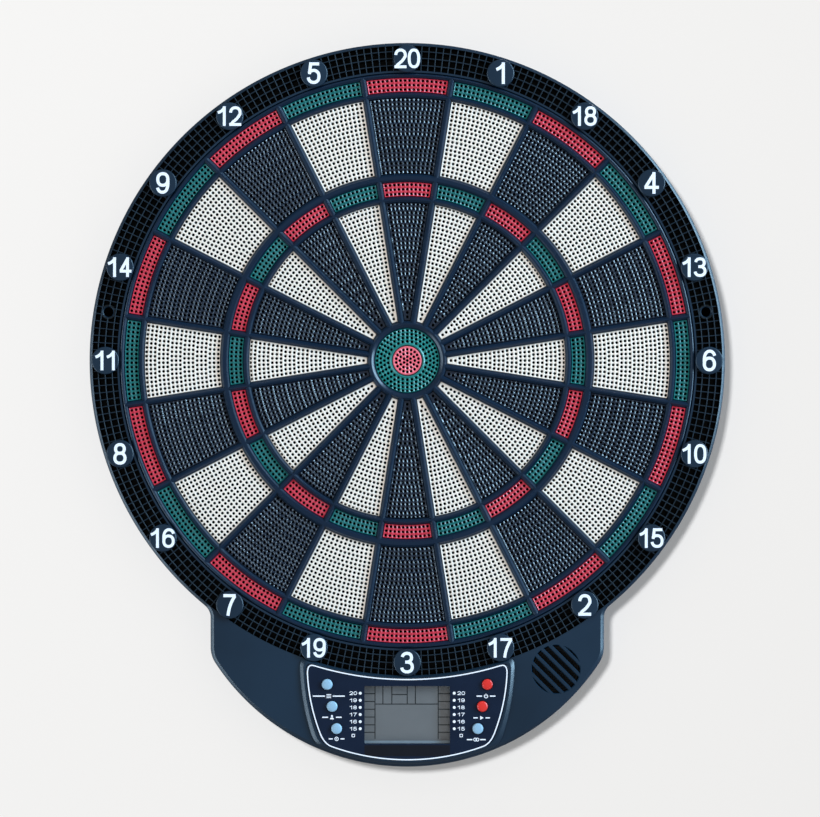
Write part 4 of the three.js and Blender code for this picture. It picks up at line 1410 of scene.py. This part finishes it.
def build_contacts():
    """Spring coils on the cells' flat ends and pressed bumps on the raised ends."""
    depth, middle, end = CELL["depth"], DISPLAY["z"], CELL["length"] / 2
    contacts = {
        "contact_plus": (1, [(1, "bump")]),
        "contact_link_right": (1, [(0, "coil"), (-1, "bump")]),
        "contact_link_left": (-1, [(1, "coil"), (0, "bump")]),
        "contact_minus": (-1, [(-1, "coil")]),
    }
    for node, (facing, ends) in contacts.items():
        plate_x = high(node, "x") if facing > 0 else -low(node, "x")
        back, front = depths_of(node)
        bottom, top = low(node, "z"), high(node, "z")
        sizes = ((front - back) / 2, (top - bottom) / 2)
        outline = rounded_box((back + front) / 2, (bottom + top) / 2, *sizes, 1.0)
        plate = loft("plate", [[(facing * x, d, z) for d, z in outline] for x in (plate_x - 0.5, plate_x)])
        finish_piece(plate, f"{node}_plate", STEEL, "steel", [node])
        for row, kind in ends:
            z = middle + row * CELL["pitch"]
            if kind == "bump":
                bump = [(4.2, plate_x - 0.45), (4.0, plate_x - 0.9)]
                bump += [(2.6, end + 0.7), (2.0, end + 0.4), (0.4, end + 0.36)]
                made = turned_along_x("bump", bump, depth, z, 32, facing)
            else:
                turns = 3.2
                path = []
                for t in np.linspace(0, 1, 80):
                    a = t * turns * 2 * math.pi
                    r = 4.2 - 2.0 * t
                    x = plate_x - 0.6 - t * (plate_x - 0.6 - end - 0.65)
                    path.append((facing * x, depth + r * math.cos(a), z + r * math.sin(a)))
                made = sweep("coil", path, 0.3, 8)
            finish_piece(made, f"{node}_{kind}_{row + 2}", STEEL, "steel", [node])


def build_leads():
    """Two twisted strands along a smooth curve through each lead's points."""
    routes = {
        "speaker_lead": [(92.5, 16.5, -219), (84, 15.5, -224), (72, 16, -230), (61, 17.6, -234)],
        "battery_lead": [(-31.4, 9.9, -254), (-33, 12, -250), (-37, 16, -244), (-42, 17.6, -240)],
    }
    for node, route in routes.items():
        points = [Vector(p) for p in route]
        padded = [points[0] * 2 - points[1]] + points + [points[-1] * 2 - points[-2]]
        path = []
        for a, b, c, d in zip(padded, padded[1:], padded[2:], padded[3:]):
            for t in np.linspace(0, 1, 8, endpoint=c is padded[-2]):
                near = 2 * b + (c - a) * t
                path.append((near + (2 * a - 5 * b + 4 * c - d) * t**2 + (3 * b - a - 3 * c + d) * t**3) / 2)
        for strand, offset in enumerate((-0.5, 0.5)):
            twisted = []
            for k, point in enumerate(path):
                a = k * 0.8
                twisted.append(tuple(point + Vector((0, math.cos(a), math.sin(a))) * offset))
            made = sweep("strand", twisted, 0.48)
            finish_piece(made, f"{node}_strand_{strand + 1}", WIRES[strand], "wire", [node])


def dress_cad_nodes():
    """Better materials on the inner CAD parts whose shape is right."""
    for material, nodes in (
        (RUBBER, ["rubber_mat"]),
        (FILM, ["switch_matrix", "matrix_ribbon"]),
        (BOARD, ["main_board"]),
        (SILICONE, ["keypad_mat_left", "keypad_mat_right", "display_strip"]),
    ):
        for node in nodes:
            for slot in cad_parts[node].material_slots:
                slot.material = material


# ---- Camera and light ----


def build_camera():
    """A camera straight in front, whose frame is 820 steps wide at the segments' plane."""
    distance, frame_steps, sensor = 2.3, 820, 36
    camera = bpy.data.cameras.new("camera")
    camera.sensor_width = sensor
    camera.lens = sensor * (distance - FACE * MM) / (frame_steps * SCALE * MM)
    camera.clip_end = 50
    holder = add_object("camera", camera)
    holder.location = (0.0019, -distance, -0.0331)
    holder.rotation_euler = (math.pi / 2, 0, 0)
    bpy.context.scene.camera = holder


def area_light(name, location, target, size, power, colour=(1, 1, 1)):
    light = bpy.data.lights.new(name, "AREA")
    light.shape = "RECTANGLE"
    light.size, light.size_y = size
    light.energy = power
    light.color = colour
    holder = add_object(name, light)
    holder.location = location
    holder.rotation_euler = (Vector(target) - Vector(location)).to_track_quat("-Z", "Y").to_euler()
    return holder


def softbox(name, right, up, elevation, distance, width, height, power, colour):
    """A soft light that stands the given degrees off the wall's plane, towards right and up."""
    lift = math.radians(elevation)
    reach = distance * math.cos(lift) / math.hypot(right, up)
    place = (right * reach, -distance * math.sin(lift), up * reach + AIM[2])
    return area_light(name, place, AIM, (width, height), power, colour)


def stage_plane(name, place, half, colour, lying=False):
    """A matt square of the stage that is clear from behind. It faces the camera, or up if it is lying."""
    corners = [(x * half / MM, 0, z * half / MM) for x, z in ((-1, -1), (1, -1), (1, 1), (-1, 1))]
    plane = new_object(name, corners, [(0, 1, 2, 3)], tidy=False)
    plane.location = place
    if lying:
        plane.rotation_euler.x = -math.pi / 2
    material, nodes, links, shader = principled(name, Base_Color=colour, Roughness=1, Specular_IOR_Level=0)
    clear = nodes.new("ShaderNodeBsdfTransparent")
    mix = nodes.new("ShaderNodeMixShader")
    geometry = nodes.new("ShaderNodeNewGeometry")
    links.new(geometry.outputs["Backfacing"], mix.inputs["Fac"])
    links.new(shader.outputs["BSDF"], mix.inputs[1])
    links.new(clear.outputs["BSDF"], mix.inputs[2])
    links.new(mix.outputs["Shader"], nodes["Material Output"].inputs["Surface"])
    plane.data.materials.append(material)
    plane.visible_shadow = False
    plane.visible_diffuse = False
    plane.visible_glossy = False
    return plane


def group(name, things):
    made = bpy.data.collections.new(name)
    for thing in things:
        made.objects.link(thing)
    return made


def build_studio():
    scene = bpy.context.scene
    scene.view_settings.view_transform = "Standard"
    world = bpy.data.worlds.new("studio")
    world.use_nodes = True
    set_inputs(world.node_tree.nodes["Background"], Color=(1.0, 0.98, 0.94, 1), Strength=0.2)
    scene.world = world

    fills = [
        softbox("fill_top", 0.2, 1, 34, 2.4, 1.2, 1.2, 27, (1.0, 0.98, 0.92)),
        softbox("fill_left", -1, 0.1, 36, 2.4, 1.4, 1.4, 10, (1.0, 0.97, 0.88)),
        softbox("fill_bottom", 0.3, -1, 36, 2.4, 1.2, 1.2, 13, (1.0, 0.98, 0.92)),
    ]
    for light in fills:
        light.visible_glossy = False
    key = softbox("key", 1, 0.3, 23, 4.0, 1.08, 4.0, 288, (0.46, 0.755, 1.0))
    edge = softbox("edge", -1, -0.3, 23, 4.0, 1.08, 4.0, 92, (0.6, 0.81, 1.0))
    rear = area_light("rear", (0.6, 2.4, 1.0), AIM, (1.6, 1.6), 60)

    pale, near_black = (0.9, 0.9, 0.9, 1), (0.004, 0.004, 0.005, 1)
    wall = stage_plane("wall", (0, 0.0012, 0), 3, pale)
    floor = stage_plane("floor", (0, -3, -0.62), 3, pale, lying=True)
    # The wall's even light casts no shadow, so a near-black patch at the wall closes each screw hole: a painted
    # shadow in place of the wall's shade.
    for side, (x, z) in zip((-1, 1), WALL_SCREW_PLACES):
        patch = stage_plane(f"hole_shadow_patch_{side}", (x * MM, 0.0006, z * MM), 0.0045, near_black)
        patch.visible_shadow = patch.visible_diffuse = patch.visible_glossy = True

    # The backdrop has its own light, so that the board's shadow falls softly to the lower right.
    all_but_backdrop = group("lit_by_softboxes", [wall, floor])
    for entry in all_but_backdrop.collection_objects:
        entry.light_linking.link_state = "EXCLUDE"
    for light in [key, edge, rear] + fills:
        light.light_linking.receiver_collection = all_but_backdrop
    only_backdrop = group("lit_by_backdrop_lights", [wall, floor])
    wash = area_light("wall_wash", (-1.1, -5.0, 0.95), AIM, (0.6, 0.6), 168)
    flat = area_light("wall_flat", (0, -5.0, 0), AIM, (1.0, 1.0), 50)
    flat.data.use_shadow = False
    for light in (wash, flat):
        light.light_linking.receiver_collection = only_backdrop
    down = area_light("floor_light", (0, -2, 3), (0, -2, 0), (4, 4), 330)
    down.light_linking.receiver_collection = group("lit_by_floor_light", [floor])


build_camera()
build_studio()
build_segments()
build_bulls()
build_spider()
build_housing()
build_numerals()
build_panel()
build_display()
build_buttons()
build_speaker()
build_cover()
build_screws()
build_door()
build_batteries()
build_contacts()
build_leads()
dress_cad_nodes()
